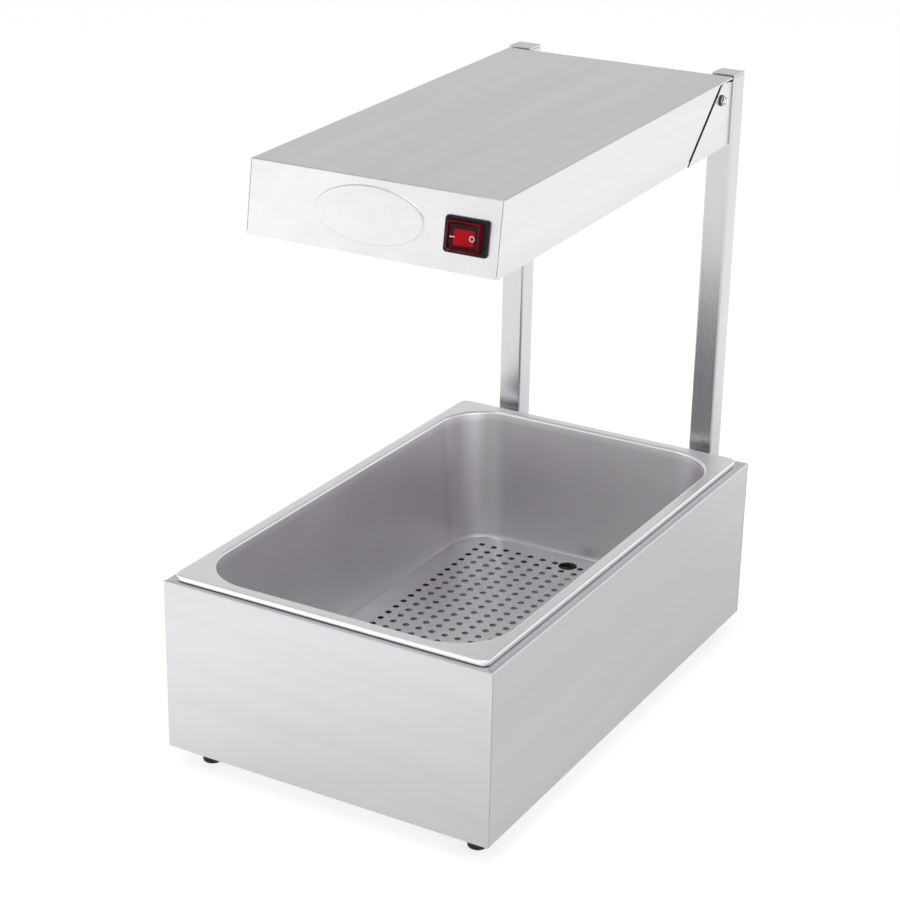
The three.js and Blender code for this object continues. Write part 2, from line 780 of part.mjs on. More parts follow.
// The pivot bolt goes out through the ear and the wing into a washer and a domed nut
function pivotFasteners() {
  const washerFoot = wingOutside + clearance.seat;
  const nutFoot = washerFoot + pivotWasher.thickness + clearance.seat;
  const headFace = earInside - clearance.seat;
  const boltTip = nutFoot + capNut.hexHeight - capNut.wall;
  const bore = pivotBolt.radius + clearance.running;
  return bothSides.flatMap(([side, sign]) => {
    const outwards = point(sign, 0, 0);
    const at = (x) => point(sign * x, pivotY, pivotZ);
    const headTop = headFace - pivotBolt.headHeight;
    const head = rodBetween(at(headTop), at(headFace), pivotBolt.headRadius, sides.hex);
    const overlap = headFace - pivotBolt.headHeight / 2;
    const shank = rodBetween(at(overlap), at(boltTip), pivotBolt.radius, sides.bolt);
    const ring = [
      [bore, 0],
      [pivotWasher.radius, 0],
      [pivotWasher.radius, pivotWasher.thickness],
      [bore, pivotWasher.thickness],
      [bore, 0],
    ];
    const hexTop = at(nutFoot + capNut.hexHeight);
    const hex = rodBetween(at(nutFoot), hexTop, capNut.hexRadius, sides.hex);
    const blindEnd = at(boltTip + clearance.running);
    const blind = rodBetween(at(nutFoot - clearance.overrun), blindEnd, bore, sides.bolt);
    const nut = cut(join(hex, domeOn(hexTop, outwards)), blind);
    return [
      meshOf(`pivot_bolt_${side}`, join(head, shank), bright),
      meshOf(`pivot_washer_${side}`, turned(ring, sides.bolt, at(washerFoot), outwards), bright),
      meshOf(`pivot_cap_nut_${side}`, nut, bright),
    ];
  });
}

function domeOn(place, outwards) {
  const profile = [[0, -capNut.wall / 2], [capNut.domeRadius, -capNut.wall / 2]];
  for (let k = 0; k <= arcSteps.dome; k += 1) {
    const turn = (Math.PI * k) / (2 * arcSteps.dome);
    profile.push([capNut.domeRadius * Math.cos(turn), capNut.domeHeight * Math.sin(turn)]);
  }
  profile.at(-1)[0] = 0;
  return turned(profile, sides.bolt, place, outwards);
}

// Hood, in its own frame

function hoodBlock(inset, below, behind) {
  const slantRise = Math.tan(radians(hood.slant));
  const top = hoodTop - inset;
  const bottom = hoodBottom - below;
  const edge = inset / Math.cos(radians(hood.slant)) - hood.reach;
  const bend = Math.max(hood.bend - inset, hood.bend / 2);
  const frontAt = (z) => edge - (hoodTop - z) * slantRise;
  const side = roundedOutline([
    [frontAt(bottom), bottom],
    [sheetRear + behind, bottom],
    [sheetRear + behind, top],
    [frontAt(top), top, bend],
  ], arcSteps.bend);
  const across = hood.halfWidth - inset;
  const section = roundedOutline([
    [-across, bottom],
    [across, bottom],
    [across, top, bend],
    [-across, top, bend],
  ], arcSteps.bend);
  const forward = frontAt(bottom) - clearance.overrun;
  return common(alongX(side, -across, across), alongY(section, forward, sheetRear + behind));
}

// A box on the front: across, up the slope from its foot, and inwards from its face
function fasciaBox(x0, x1, s0, s1, d0, d1) {
  const box = boxBetween(x0, x1, s0, s1, -d1, -d0);
  return onFascia(box);
}

function onFascia(geometry) {
  return geometry.rotateX(radians(90 - hood.slant)).translate(0, fasciaFoot, hoodBottom);
}

function sideCutter() {
  const edge = rakedLine(wing.lead + wing.slit);
  const past = clearance.overrun;
  const stripFoot = hoodTop - sideCut.stripHeight;
  const rear = sheetRear + past;
  const outline = roundedOutline([
    [edge.atHeight(hoodBottom - past), hoodBottom - past],
    [rear, hoodBottom - past],
    [rear, stripFoot],
    [edge.atHeight(stripFoot), stripFoot, sideCut.corner],
  ], arcSteps.corner);
  return alongX(outline, -hood.halfWidth - past, hood.halfWidth + past);
}

function hoodShell() {
  const past = clearance.overrun;
  const outer = hoodBlock(0, 0, 0);
  const inner = hoodBlock(hood.sheet, past, past);
  const inwards = hood.halfWidth - hood.sideLip;
  const lips = bothSides.map(([, sign]) => {
    const [x0, x1] = [sign * inwards, sign * hood.halfWidth].sort((a, b) => a - b);
    return boxBetween(x0, x1, fasciaFoot, sheetRear, hoodBottom, lipTop);
  });
  const frontLip = boxBetween(
    -hoodInside,
    hoodInside,
    fasciaFoot,
    fasciaFoot + hood.frontLip,
    hoodBottom,
    lipTop,
  );
  const lipRing = common(join(...lips, frontLip), hoodBlock(0, 0, 0));
  const seams = bothSides.map(([, sign]) => {
    const [x0, x1] = [sign * hoodInside, sign * (hoodInside - clearance.seam)].sort((a, b) => a - b);
    return fasciaBox(x0, x1, hood.sheet * 2, slopeHeight - hood.bend, -past, hood.sheet + clearance.running);
  });
  const { fromCentre, aboveLip, bodyWidth, bodyHeight } = switchSize;
  const [halfWide, halfHigh] = [bodyWidth / 2 + clearance.seat, bodyHeight / 2 + clearance.seat];
  const opening = fasciaBox(
    fromCentre - halfWide,
    fromCentre + halfWide,
    aboveLip - halfHigh,
    aboveLip + halfHigh,
    -past,
    past,
  );
  const plaque = onFascia(alongZ(
    circleOutline(oval.fromCentre, oval.aboveLip, oval.across / 2, oval.high / 2, sides.oval),
    -hood.sheet / 2,
    oval.rise,
  ));
  const shell = join(cut(outer, inner), lipRing, plaque);
  return meshOf('hood_shell', cut(shell, sideCutter(), opening, ...seams), brushed);
}

function hoodEars() {
  const rearEdge = pivot.ahead - 2 * clearance.seat - wing.sheet - clearance.swing;
  const bottom = lipTop + clearance.seat;
  const rearAt = (z) => (rearEdge + z * Math.sin(radians(tilt.rest))) / Math.cos(radians(tilt.rest));
  const outline = roundedOutline([
    [-ear.reach, bottom],
    [rearAt(bottom), bottom],
    [rearAt(bottom), ear.eye, ear.eye],
    [-ear.eye, ear.eye, ear.eye],
    [ear.top - ear.eye, ear.top],
    [-ear.reach, ear.top],
  ], arcSteps.corner);
  return bothSides.map(([side, sign]) => {
    const [x0, x1] = [sign * earInside, sign * earOutside].sort((a, b) => a - b);
    const plate = alongX(outline, x0, x1);
    const [p0, p1] = [sign * earInside, sign * (hoodInside - clearance.seat)].sort((a, b) => a - b);
    const block = boxBetween(p0, p1, -ear.reach, -ear.reach + ear.padLength, bottom, ear.top);
    const eye = rodBetween(
      point(-hood.halfWidth, 0, 0),
      point(hood.halfWidth, 0, 0),
      pivotBolt.radius + clearance.running,
      sides.bolt,
    );
    return meshOf(`pivot_ear_${side}`, cut(join(plate, block), eye), blackened);
  });
}

// The rear panel's foot is folded forward, and closes the wiring space from below
function hoodRearPanel() {
  const across = earInside - clearance.seat;
  const rear = rearPanelFront + rearPanel.sheet;
  const top = hoodTop - hood.sheet - clearance.seat;
  const plate = boxBetween(-across, across, rearPanelFront, rear, coverBottom, top);
  const front = -reflector.rear + reflector.sheet + 2 * clearance.seat;
  const cover = boxBetween(-across, across, front, rear, coverBottom, coverTop);
  const hole = rodBetween(
    point(0, rearPanelFront - clearance.overrun, -gland.belowPivot),
    point(0, clearance.overrun, -gland.belowPivot),
    gland.thread + clearance.running,
    sides.bolt,
  );
  return meshOf('hood_rear_panel', cut(join(plate, cover), hole), brushed);
}

// Heating parts

function reflectorSection(inset, topZ, footZ) {
  const slope = (reflector.mouthHalf - reflector.topHalf) / reflector.rise;
  const top = reflector.topHalf - inset;
  const mouth = top + (topZ - footZ) * slope;
  return { top, mouth };
}

function reflectorTray() {
  const s = reflector.sheet;
  const flangeTop = reflectorFoot + s;
  const outerSide = reflectorSection(0, reflectorTop, flangeTop);
  const innerSide = reflectorSection(s, reflectorTop - s, reflectorFoot);
  const flange = reflector.mouthHalf + reflector.flange;
  const half = [
    [flange, reflectorFoot],
    [flange, flangeTop],
    [outerSide.mouth, flangeTop],
    [outerSide.top, reflectorTop],
  ];
  const back = [
    [innerSide.top, reflectorTop - s],
    [innerSide.mouth, reflectorFoot],
  ];
  const mirrored = (points) => points.toReversed().map(([x, z]) => [-x, z]);
  const outline = [...half, ...mirrored(half), ...mirrored(back), ...back];
  const section = outline.map(([x, z]) => new THREE.Vector2(x, z));
  return meshOf('reflector', alongY(section, -reflector.front, -reflector.rear), bright);
}

function reflectorEnds() {
  const s = reflector.sheet;
  const gap = clearance.seat;
  const inner = reflectorSection(s + gap, reflectorTop - s - gap, reflectorFoot);
  const outline = [
    [-inner.mouth, reflectorFoot],
    [inner.mouth, reflectorFoot],
    [inner.top, reflectorTop - s - gap],
    [-inner.top, reflectorTop - s - gap],
  ].map(([x, z]) => new THREE.Vector2(x, z));
  const starts = [-reflector.front, -reflector.rear - s];
  return bothEnds.map(([end], i) => {
    return meshOf(`reflector_end_${end}`, alongY(outline, starts[i], starts[i] + s), bright);
  });
}

function lampPlaces() {
  const first = -reflector.front + reflector.sheet + clearance.seat;
  const last = -reflector.rear - reflector.sheet - clearance.seat;
  return { first, last };
}

function lampsAndHolders() {
  const { first, last } = lampPlaces();
  const pieces = [];
  bothSides.forEach(([side, sign]) => {
    const x = (sign * lamp.apart) / 2;
    const start = first + holder.length - holder.socket + clearance.seat;
    const end = last - holder.length + holder.socket - clearance.seat;
    const tube = rodBetween(point(x, start, lampHeight), point(x, end, lampHeight), lamp.radius, sides.lamp);
    pieces.push(meshOf(`heat_lamp_${side}`, tube, quartz));
    bothEnds.forEach(([where, way]) => {
      const [y0, y1] = way < 0 ? [first, first + holder.length] : [last - holder.length, last];
      const [w, h] = [holder.width / 2, holder.height / 2];
      const block = boxBetween(x - w, x + w, y0, y1, lampHeight - h, lampHeight + h);
      const mouth = way < 0 ? y1 : y0;
      const socket = rodBetween(
        point(x, mouth + way * holder.socket, lampHeight),
        point(x, mouth - way * clearance.overrun, lampHeight),
        lamp.radius + clearance.seat,
        sides.lamp,
      );
      pieces.push(meshOf(`lamp_holder_${where}_${side}`, cut(block, socket), ceramic));
    });
  });
  return pieces;
}

function lampGuard() {
  const z = lipTop + clearance.seat + guard.rod;
  const across = hood.halfWidth - hood.sideLip + guard.lap;
  const front = fasciaFoot + hood.frontLip - guard.lap;
  const rear = -reflector.rear;
  const rods = [-across, -across * guard.innerShare, across * guard.innerShare, across].map((x) => {
    return rodBetween(point(x, front, z), point(x, rear, z), guard.rod, sides.rod);
  });
  const count = Math.max(1, Math.round((rear - front) / guard.apart));
  for (let k = 0; k <= count; k += 1) {
    const inset = guard.rod;
    const y = front + inset + ((rear - front - 2 * inset) * k) / count;
    rods.push(rodBetween(point(-across, y, z), point(across, y, z), guard.rod, sides.rod));
  }
  return meshOf('lamp_guard', join(...rods), bright);
}

function terminalBlock() {
  const [w, y0] = [terminals.width / 2, -terminals.ahead];
  const [z0, z1] = [coverTop + clearance.seat, coverTop + clearance.seat + terminals.height];
  const body = boxBetween(-w, w, y0, y0 + terminals.depth, z0, z1);
  const heads = [];
  for (let k = 0; k < terminals.ways; k += 1) {
    const x = -w + (terminals.width * (k + 1 / 2)) / terminals.ways;
    const y = y0 + terminals.depth / 2;
    const foot = point(x, y, z1 - terminals.screwRise);
    heads.push(rodBetween(foot, point(x, y, z1 + terminals.screwRise), terminals.screwRadius, sides.tiny));
  }
  return meshOf('terminal_block', join(body, ...heads), ceramic);
}

// The gland stands in the rear panel and points to the back
function cableGland() {
  const z = -gland.belowPivot;
  const face = rearPanelFront + rearPanel.sheet + clearance.seat;
  const nutBack = rearPanelFront - clearance.seat;
  const nutFront = nutBack - glandNut.thickness;
  const backwards = point(0, 1, 0);
  const body = [
    [gland.bore, nutFront - face],
    [gland.thread, nutFront - face],
    [gland.thread, gland.hexHeight / 2],
    [gland.capRadius, gland.hexHeight / 2],
    [gland.capRadius, gland.hexHeight + gland.capLength / 2],
    [(gland.capRadius + gland.bore) / 2, gland.hexHeight + gland.capLength],
    [gland.bore, gland.hexHeight + gland.capLength],
    [gland.bore, nutFront - face],
  ];
  const turnedBody = turned(body, sides.bolt, point(0, face, z), backwards);
  const hex = rodBetween(point(0, face, z), point(0, face + gland.hexHeight, z), gland.hexRadius, sides.hex);
  const bore = rodBetween(
    point(0, face - clearance.overrun, z),
    point(0, face + gland.hexHeight + clearance.overrun, z),
    (gland.bore + gland.thread) / 2,
    sides.bolt,
  );
  const nutBore = gland.thread + clearance.running;
  const nutBody = rodBetween(point(0, nutFront, z), point(0, nutBack, z), glandNut.radius, sides.hex);
  const nutHole = rodBetween(
    point(0, nutFront - clearance.overrun, z),
    point(0, nutBack + clearance.overrun, z),
    nutBore,
    sides.bolt,
  );
  return [
    meshOf('cable_gland', join(turnedBody, cut(hex, bore)), blackNylon),
    meshOf('cable_gland_nut', cut(nutBody, nutHole), blackNylon),
  ];
}

// Wires run under the hood's top, over the reflector

function bentPath(route) {
  const path = new THREE.CurvePath();
  let from = route[0];
  route.slice(1, -1).forEach((corner, i) => {
    const [before, after] = [route[i], route[i + 2]].map((other) => {
      return other.clone().sub(corner).setLength(wire.bend).add(corner);
    });
    path.add(new THREE.LineCurve3(from, before));
    path.add(new THREE.QuadraticBezierCurve3(before, corner, after));
    from = after;
  });
  path.add(new THREE.LineCurve3(from, route.at(-1)));
  return path;
}

function wireThrough(name, route) {
  const path = bentPath(route);
  const shape = new THREE.Shape(circleOutline(0, 0, wire.radius, wire.radius, sides.wire));
  const steps = Math.ceil(path.getLength() / wire.step);
  const tube = new THREE.ExtrudeGeometry(shape, { steps, extrudePath: path, bevelEnabled: false });
  return meshOf(name, tube, wireSleeve);
}

function wires() {
  const high = (reflectorTop + hoodTop - hood.sheet) / 2;
  const blockFront = -terminals.ahead - clearance.seat;
  const blockZ = coverTop + clearance.seat + terminals.height / 2;
  const crossing = -(terminals.ahead + reflector.rear) / 2;
  const { fromCentre, aboveLip, bodyDepth } = switchSize;
  return ['live_wire', 'switched_wire'].map((name, k) => {
    const shift = (k - 1 / 2) * wire.apart;
    const start = (terminals.width / terminals.ways) * (k - 1 / 2);
    const x = fromCentre + shift;
    const route = [
      point(start, blockFront, blockZ),
      point(start, crossing + shift, blockZ),
      point(start, crossing + shift, high),
      point(x, crossing + shift, high),
      point(x, -reflector.front, high),
      fasciaPoint(x, aboveLip, bodyDepth + clearance.seat + 2 * wire.bend),
      fasciaPoint(x, aboveLip, bodyDepth + clearance.seat),
    ];
    return wireThrough(name, route);
  });
}

function fasciaPoint(x, up, inwards) {
  const slant = radians(hood.slant);
  return point(
    x,
    fasciaFoot + up * Math.sin(slant) + inwards * Math.cos(slant),
    hoodBottom + up * Math.cos(slant) - inwards * Math.sin(slant),
  );
}

// Switch, in a frame whose Z points out of the front's face

function switchHousing() {
  const { width, height, proud, flange, bodyWidth, bodyHeight, bodyDepth, corner, chamfer } = switchSize;
  const outlineAt = (inset) => roundedOutline(
    rectangleCorners(
      -width / 2 + inset,
      width / 2 - inset,
      -height / 2 + inset,
      height / 2 - inset,
      corner - inset / 2,
    ),
    arcSteps.bend,
  );
  const ringAt = (inset, z) => outlineAt(inset).map((p) => point(p.x, p.y, z));
  const bezel = lofted([
    ringAt(0, clearance.seat),
    ringAt(0, flange),
    ringAt(chamfer, proud),
  ]);
  const [w, h] = [bodyWidth / 2, bodyHeight / 2];
  const body = boxBetween(-w, w, -h, h, -bodyDepth, proud / 2);
  const recess = alongZ(bootOutline(-clearance.seat), boot.foot, proud + clearance.overrun);
  const wellX = rockerSize.width / 2 + rockerWell.endGap;
  const wellY = rockerSize.height / 2 + rockerWell.sideGap;
  const well = boxBetween(-wellX, wellX, -wellY, wellY, -rockerWell.depth, proud + clearance.overrun);
  const pinReach = rockerSize.height / 2 + rockerSize.pinLength + clearance.seat;
  const pins = rodBetween(
    point(0, -pinReach, 0),
    point(0, pinReach, 0),
    rockerSize.pin + clearance.seat,
    sides.tiny,
  );
  return meshOf('switch_housing', cut(join(bezel, body), recess, well, pins), blackNylon);
}

function bootOutline(inset) {
  const [w, h] = [boot.width / 2 - inset, boot.height / 2 - inset];
  return roundedOutline(rectangleCorners(-w, w, -h, h, boot.corner - inset), arcSteps.bend);
}

function splashBoot() {
  const { sheet, foot: low, rise, shoulder } = boot;
  const ringAt = (inset, z) => bootOutline(inset).map((p) => point(p.x, p.y, z));
  const knee = shoulder * (1 - Math.SQRT1_2);
  const bottom = low + clearance.seat;
  const outer = lofted([
    ringAt(0, bottom),
    ringAt(0, rise - shoulder),
    ringAt(knee, rise - knee),
    ringAt(shoulder, rise),
  ]);
  const inner = lofted([
    ringAt(sheet, bottom - clearance.overrun),
    ringAt(sheet, rise - shoulder),
    ringAt(knee + sheet * Math.SQRT1_2, rise - knee - sheet * Math.SQRT1_2),
    ringAt(shoulder, rise - sheet),
  ]);
  return meshOf('splash_boot', cut(outer, inner), redBoot);
}

function rocker() {
  const { width, height, endRise, middleRise, root, pin, pinLength } = rockerSize;
  const half = width / 2;
  const outline = [
    [-half, endRise],
    [-half, 0],
    [-half / 2, -root],
    [half / 2, -root],
    [half, 0],
    [half, endRise],
    [0, middleRise],
  ].map(([x, z]) => new THREE.Vector2(x, z));
  const paddle = alongY(outline, -height / 2, height / 2);
  const reach = height / 2 + pinLength;
  const axle = rodBetween(point(0, -reach, 0), point(0, reach, 0), pin, sides.tiny);
  const mesh = meshOf('rocker', join(paddle, axle), redRocker);
  mesh.rotation.y = radians(rockerTilt);
  return mesh;
}

function powerSwitch() {
  const group = new THREE.Group();
  group.position.copy(fasciaPoint(switchSize.fromCentre, switchSize.aboveLip, 0));
  group.rotation.x = radians(90 - hood.slant);
  group.add(switchHousing(), splashBoot(), rocker());
  return group;
}

function hoodAssembly() {
  const group = new THREE.Group();
  group.position.set(0, pivotY, pivotZ);
  group.rotation.x = radians(tilt.rest);
  group.add(
    hoodShell(),
    ...hoodEars(),
    hoodRearPanel(),
    reflectorTray(),
    ...reflectorEnds(),
    ...lampsAndHolders(),
    lampGuard(),
    terminalBlock(),
    ...cableGland(),
    ...wires(),
    powerSwitch(),
  );
  return group;
}

const chipWarmer = new THREE.Group();
chipWarmer.position.y = -overallDepth / 2;
chipWarmer.add(
  ...cabinetPanels(),
  cabinetBase(),
  ...feet(),
  gnPan(),
  drainerPlate(),
  ...posts(),
  ...postMountings(),
  ...mountBolts(),
  hoodBracket(),
  ...bracketScrews(),
  ...pivotFasteners(),
  hoodAssembly(),
);

export default chipWarmer;
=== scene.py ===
import json
import logging
import math
from dataclasses import dataclass
from enum import Enum
from typing import Callable, Sequence, Union

import bmesh
import bpy
from mathutils import Matrix, Vector


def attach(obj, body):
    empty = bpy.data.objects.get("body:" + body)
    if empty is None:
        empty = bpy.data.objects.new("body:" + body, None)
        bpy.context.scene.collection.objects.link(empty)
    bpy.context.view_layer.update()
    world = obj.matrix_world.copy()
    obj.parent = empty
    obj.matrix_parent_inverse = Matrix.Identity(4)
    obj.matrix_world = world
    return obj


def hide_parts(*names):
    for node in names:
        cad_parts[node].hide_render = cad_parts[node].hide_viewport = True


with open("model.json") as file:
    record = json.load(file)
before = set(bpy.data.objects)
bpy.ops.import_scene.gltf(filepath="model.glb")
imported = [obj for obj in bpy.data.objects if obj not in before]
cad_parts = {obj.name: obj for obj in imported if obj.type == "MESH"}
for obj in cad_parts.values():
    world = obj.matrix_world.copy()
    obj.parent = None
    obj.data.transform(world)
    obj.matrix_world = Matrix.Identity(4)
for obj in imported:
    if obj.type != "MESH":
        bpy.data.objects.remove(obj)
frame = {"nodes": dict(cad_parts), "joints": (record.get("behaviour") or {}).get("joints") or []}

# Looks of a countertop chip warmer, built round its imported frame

log = logging.getLogger("chip_warmer")
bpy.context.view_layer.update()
MM = 0.001
CLEARANCE = 0.3
BEVEL_FROM = 40.0
X, Y, Z = (Vector(axis) for axis in ((1, 0, 0), (0, 1, 0), (0, 0, 1)))
SIDES = (("left", -1.0), ("right", 1.0))

Point2 = tuple[float, float]
Triple = tuple[float, float, float]
Colour = Triple
Value = Union["Sock", float, tuple, Vector]


# Shader toolkit

def operator(operation: str, reflected: bool = False) -> Callable:
    """Make one operator of plain arithmetic.

    Args:
        operation: The Math node's operation.
        reflected: Whether the wrapped value comes second.

    Returns:
        The method.
    """
    def apply(self: "Sock", other: Value) -> "Sock":
        """Add one Math node."""
        pair = (other, self) if reflected else (self, other)
        return self.tree.add("ShaderNodeMath", {"operation": operation}, dict(enumerate(pair)))
    return apply


@dataclass
class Sock:
    """A value in a shader tree, with the operators of plain arithmetic."""

    tree: "ShaderTree"
    socket: bpy.types.NodeSocket
    __add__, __radd__ = operator("ADD"), operator("ADD", True)
    __sub__, __rsub__ = operator("SUBTRACT"), operator("SUBTRACT", True)
    __mul__, __rmul__ = operator("MULTIPLY"), operator("MULTIPLY", True)


class ShaderTree:
    """Node tree of a material or a world, with its shader at the end."""

    def __init__(self, owner: bpy.types.ID, end: str = "Principled BSDF") -> None:
        """Open the tree.

        Args:
            owner: The material or world.
            end: Its shader's name.
        """
        owner.use_nodes = True
        self.tree = owner.node_tree
        self.shader = self.tree.nodes[end]

    def put(self, socket: bpy.types.NodeSocket, value: Value) -> None:
        """Link a value to a socket, or set it there.

        Args:
            socket: The input socket.
            value: A link or a constant.
        """
        if isinstance(value, Sock):
            self.tree.links.new(value.socket, socket)
        elif socket.type == "RGBA":
            socket.default_value = (*value, 1.0)
        else:
            socket.default_value = value

    def add(self, kind: str, settings: dict, inputs: dict, output: Union[int, str] = 0) -> Sock:
        """Add a node of any type.

        Args:
            kind: The node's type.
            settings: Its settings; "stops" are a ramp's (place, colour) pairs.
            inputs: Values or links of its sockets, by name or index.
            output: The output to return, by name or index.

        Returns:
            That output.
        """
        node = self.tree.nodes.new(kind)
        for setting, value in settings.items():
            if setting != "stops":
                setattr(node, setting, value)
                continue
            elements = node.color_ramp.elements
            while len(elements) < len(value):
                elements.new(1.0)
            for element, (place, colour) in zip(elements, value):
                element.position = place
                element.color = (*colour, 1.0)
        for socket, value in inputs.items():
            self.put(node.inputs[socket], value)
        return Sock(self, node.outputs[output])

    def place(self) -> Sock:
        """Object coordinates."""
        return self.add("ShaderNodeTexCoord", {}, {}, "Object")

    def noise(self, scale: Triple, detail: float = 3.0, roughness: float = 0.55) -> Sock:
        """Noise with its own scale along each axis of the object.

        Args:
            scale: Cells a metre along X, Y and Z.
            detail: Octaves.
            roughness: How much the finer octaves weigh.

        Returns:
            The noise's value, about 0.5 at the middle.
        """
        stretched = self.add("ShaderNodeVectorMath", {"operation": "MULTIPLY"}, {0: self.place(), 1: scale})
        inputs = {"Vector": stretched, "Scale": 1.0, "Detail": detail, "Roughness": roughness}
        return self.add("ShaderNodeTexNoise", {}, inputs, "Fac")

    def ramp(self, fac: Value, stops: Sequence[tuple[float, Colour]]) -> Sock:
        """Turn a value from 0 to 1 into a colour."""
        return self.add("ShaderNodeValToRGB", {"stops": stops}, {"Fac": fac})

    def bump(self, height: Value, depth: float) -> Sock:
        """Bend the normal by a height from 0 to 1 and a depth in metres."""
        inputs = {"Height": height, "Distance": depth, "Strength": 1.0}
        return self.add("ShaderNodeBump", {}, inputs, "Normal")


class Grain(Enum):
    """The axis along which a sheet is brushed."""

    X = 0
    Y = 1
    Z = 2


def tones(colour: Colour, spread: float) -> list[tuple[float, Colour]]:
    """Ramp stops from a darker to a lighter form of one colour.

    Args:
        colour: The middle colour.
        spread: How far the ends lie from it, as a share.

    Returns:
        Two stops.
    """
    darker, lighter = (tuple(min(1.0, c * share) for c in colour) for share in (1.0 - spread, 1.0 + spread))
    return [(0.3, darker), (0.7, lighter)]


@dataclass(frozen=True)
class Finish:
    """A surface finish: a colour with some spread, a roughness and the record's material slot."""

    name: str
    colour: Colour
    roughness: float
    slot: str = ""

    def shade(self, tree: ShaderTree) -> dict[str, Value]:
        """Give the shader's values or links by its sockets' names."""
        raise NotImplementedError

    def material(self) -> bpy.types.Material:
        """Make the material once.

        Returns:
            The material.
        """
        name = f"{self.name}_finish"
        known = bpy.data.materials.get(name)
        if known:
            return known
        material = bpy.data.materials.new(name)
        tree = ShaderTree(material)
        for socket, value in self.shade(tree).items():
            tree.put(tree.shader.inputs[socket], value)
        return material


@dataclass(frozen=True)
class BrushedSteel(Finish):
    """Sheet steel with a fine grain along one axis, and soft broad streaks."""

    grain: Grain = Grain.X
    streak: float = 0.05
    relief: float = 0.000012

    def stretched(self, along: float, across: float) -> Triple:
        """Noise scales for a pattern drawn out along the grain."""
        return tuple(along if axis == self.grain.value else across for axis in range(3))

    def shade(self, tree: ShaderTree) -> dict[str, Value]:
        """Streaks in colour, roughness and relief.

        Args:
            tree: The material's tree.

        Returns:
            Values by socket.
        """
        fine = tree.noise(self.stretched(9.0, 1500.0), 4.0, 0.6)
        broad = tree.noise(self.stretched(2.2, 34.0), 4.0, 0.6)
        clouds = tree.noise((5.0, 5.0, 5.0), 2.0)
        mixed = broad * 0.5 + fine * 0.25 + clouds * 0.25
        return {
            "Base Color": tree.ramp(mixed, tones(self.colour, self.streak)),
            "Metallic": 1.0,
            "Roughness": fine * 0.12 + clouds * 0.1 + (self.roughness - 0.11),
            "Normal": tree.bump(fine * 0.7 + broad * 0.3, self.relief),
        }


@dataclass(frozen=True)
class DrawnSteel(Finish):
    """Deep-drawn steel: satin, without a direction, faintly clouded, and with a painted highlight that makes
    it brighter above a set height, on a rim.
    """

    # Height in metres above which the painted highlight starts, and how much lighter it makes the colour.
    painted_rim_level: float = 1.0
    painted_rim_gain: float = 0.0

    def shade(self, tree: ShaderTree) -> dict[str, Value]:
        """Clouds in colour and roughness under a very fine grain, and a painted highlight above a set
        height.

        Args:
            tree: The material's tree.

        Returns:
            Values by socket.
        """
        grain = tree.noise((900.0, 900.0, 900.0), 3.0)
        clouds = tree.noise((9.0, 9.0, 16.0), 3.0)
        # Painted highlight: above a set height the colour is lifted, standing in for the brighter reflection
        # along the rim.
        height = tree.add("ShaderNodeSeparateXYZ", {}, {"Vector": tree.place()}, "Z")
        lifted = (height - self.painted_rim_level) * 100.0
        painted_rim_share = tree.add("ShaderNodeClamp", {}, {"Value": lifted, "Min": 0.0, "Max": 0.5}, "Result")
        rim = tuple(min(1.0, c + self.painted_rim_gain) for c in self.colour)
        walls = [(at * 0.3, colour) for at, colour in tones(self.colour, 0.05)]
        edges = [(0.5 + at * 0.3, colour) for at, colour in tones(rim, 0.03)]
        return {
            "Base Color": tree.ramp((clouds * 0.7 + grain * 0.3) * 0.3 + painted_rim_share, walls + edges),
            "Metallic": 1.0,
            "Roughness": grain * 0.08 + clouds * 0.12 + (self.roughness - 0.1),
            "Normal": tree.bump(grain, 0.000008),
        }


@dataclass(frozen=True)
class TurnedMetal(Finish):
    """Metal, or another surface with one even grain, such as ceramic or glass."""

    cells: float = 220.0
    octaves: float = 3.0
    spread: float = 0.06
    swing: float = 0.12
    relief: float = 0.00002
    metallic: float = 1.0
    shine: float = 0.5
    alpha: float = 1.0

    def shade(self, tree: ShaderTree) -> dict[str, Value]:
        """Haze, specks or waves in colour, roughness and relief."""
        haze = tree.noise((self.cells,) * 3, self.octaves)
        return {
            "Base Color": tree.ramp(haze, tones(self.colour, self.spread)),
            "Metallic": self.metallic,
            "Roughness": haze * self.swing + (self.roughness - self.swing / 2),
            "Specular IOR Level": self.shine,
            "Normal": tree.bump(haze, self.relief),
            "Alpha": self.alpha,
        }


@dataclass(frozen=True)
class Ceramic(TurnedMetal):
    """Unglazed ceramic with faint specks."""

    cells: float = 700.0
    spread: float = 0.1
    swing: float = 0.1
    relief: float = 0.00006
    metallic: float = 0.0


@dataclass(frozen=True)
class Clear(TurnedMetal):
    """A see-through, slightly wavy skin or tube that tints what lies under it."""

    cells: float = 160.0
    octaves: float = 2.0
    spread: float = 0.12
    swing: float = 0.08
    relief: float = 0.0001
    metallic: float = 0.0


@dataclass(frozen=True)
class Moulded(Finish):
    """Moulded rubber or plastic with a fine texture."""

    texture: float = 0.00003
    shine: float = 0.4

    def shade(self, tree: ShaderTree) -> dict[str, Value]:
        """A grained surface whose gloss changes a little.

        Args:
            tree: The material's tree.

        Returns:
            Values by socket.
        """
        grain = tree.noise((1400.0, 1400.0, 1400.0), 2.0)
        wear = tree.noise((60.0, 60.0, 60.0), 3.0)
        return {
            "Base Color": tree.ramp(wear, tones(self.colour, 0.18)),
            "Roughness": wear * 0.16 + (self.roughness - 0.08),
            "Specular IOR Level": self.shine,
            "Normal": tree.bump(grain, self.texture),
        }


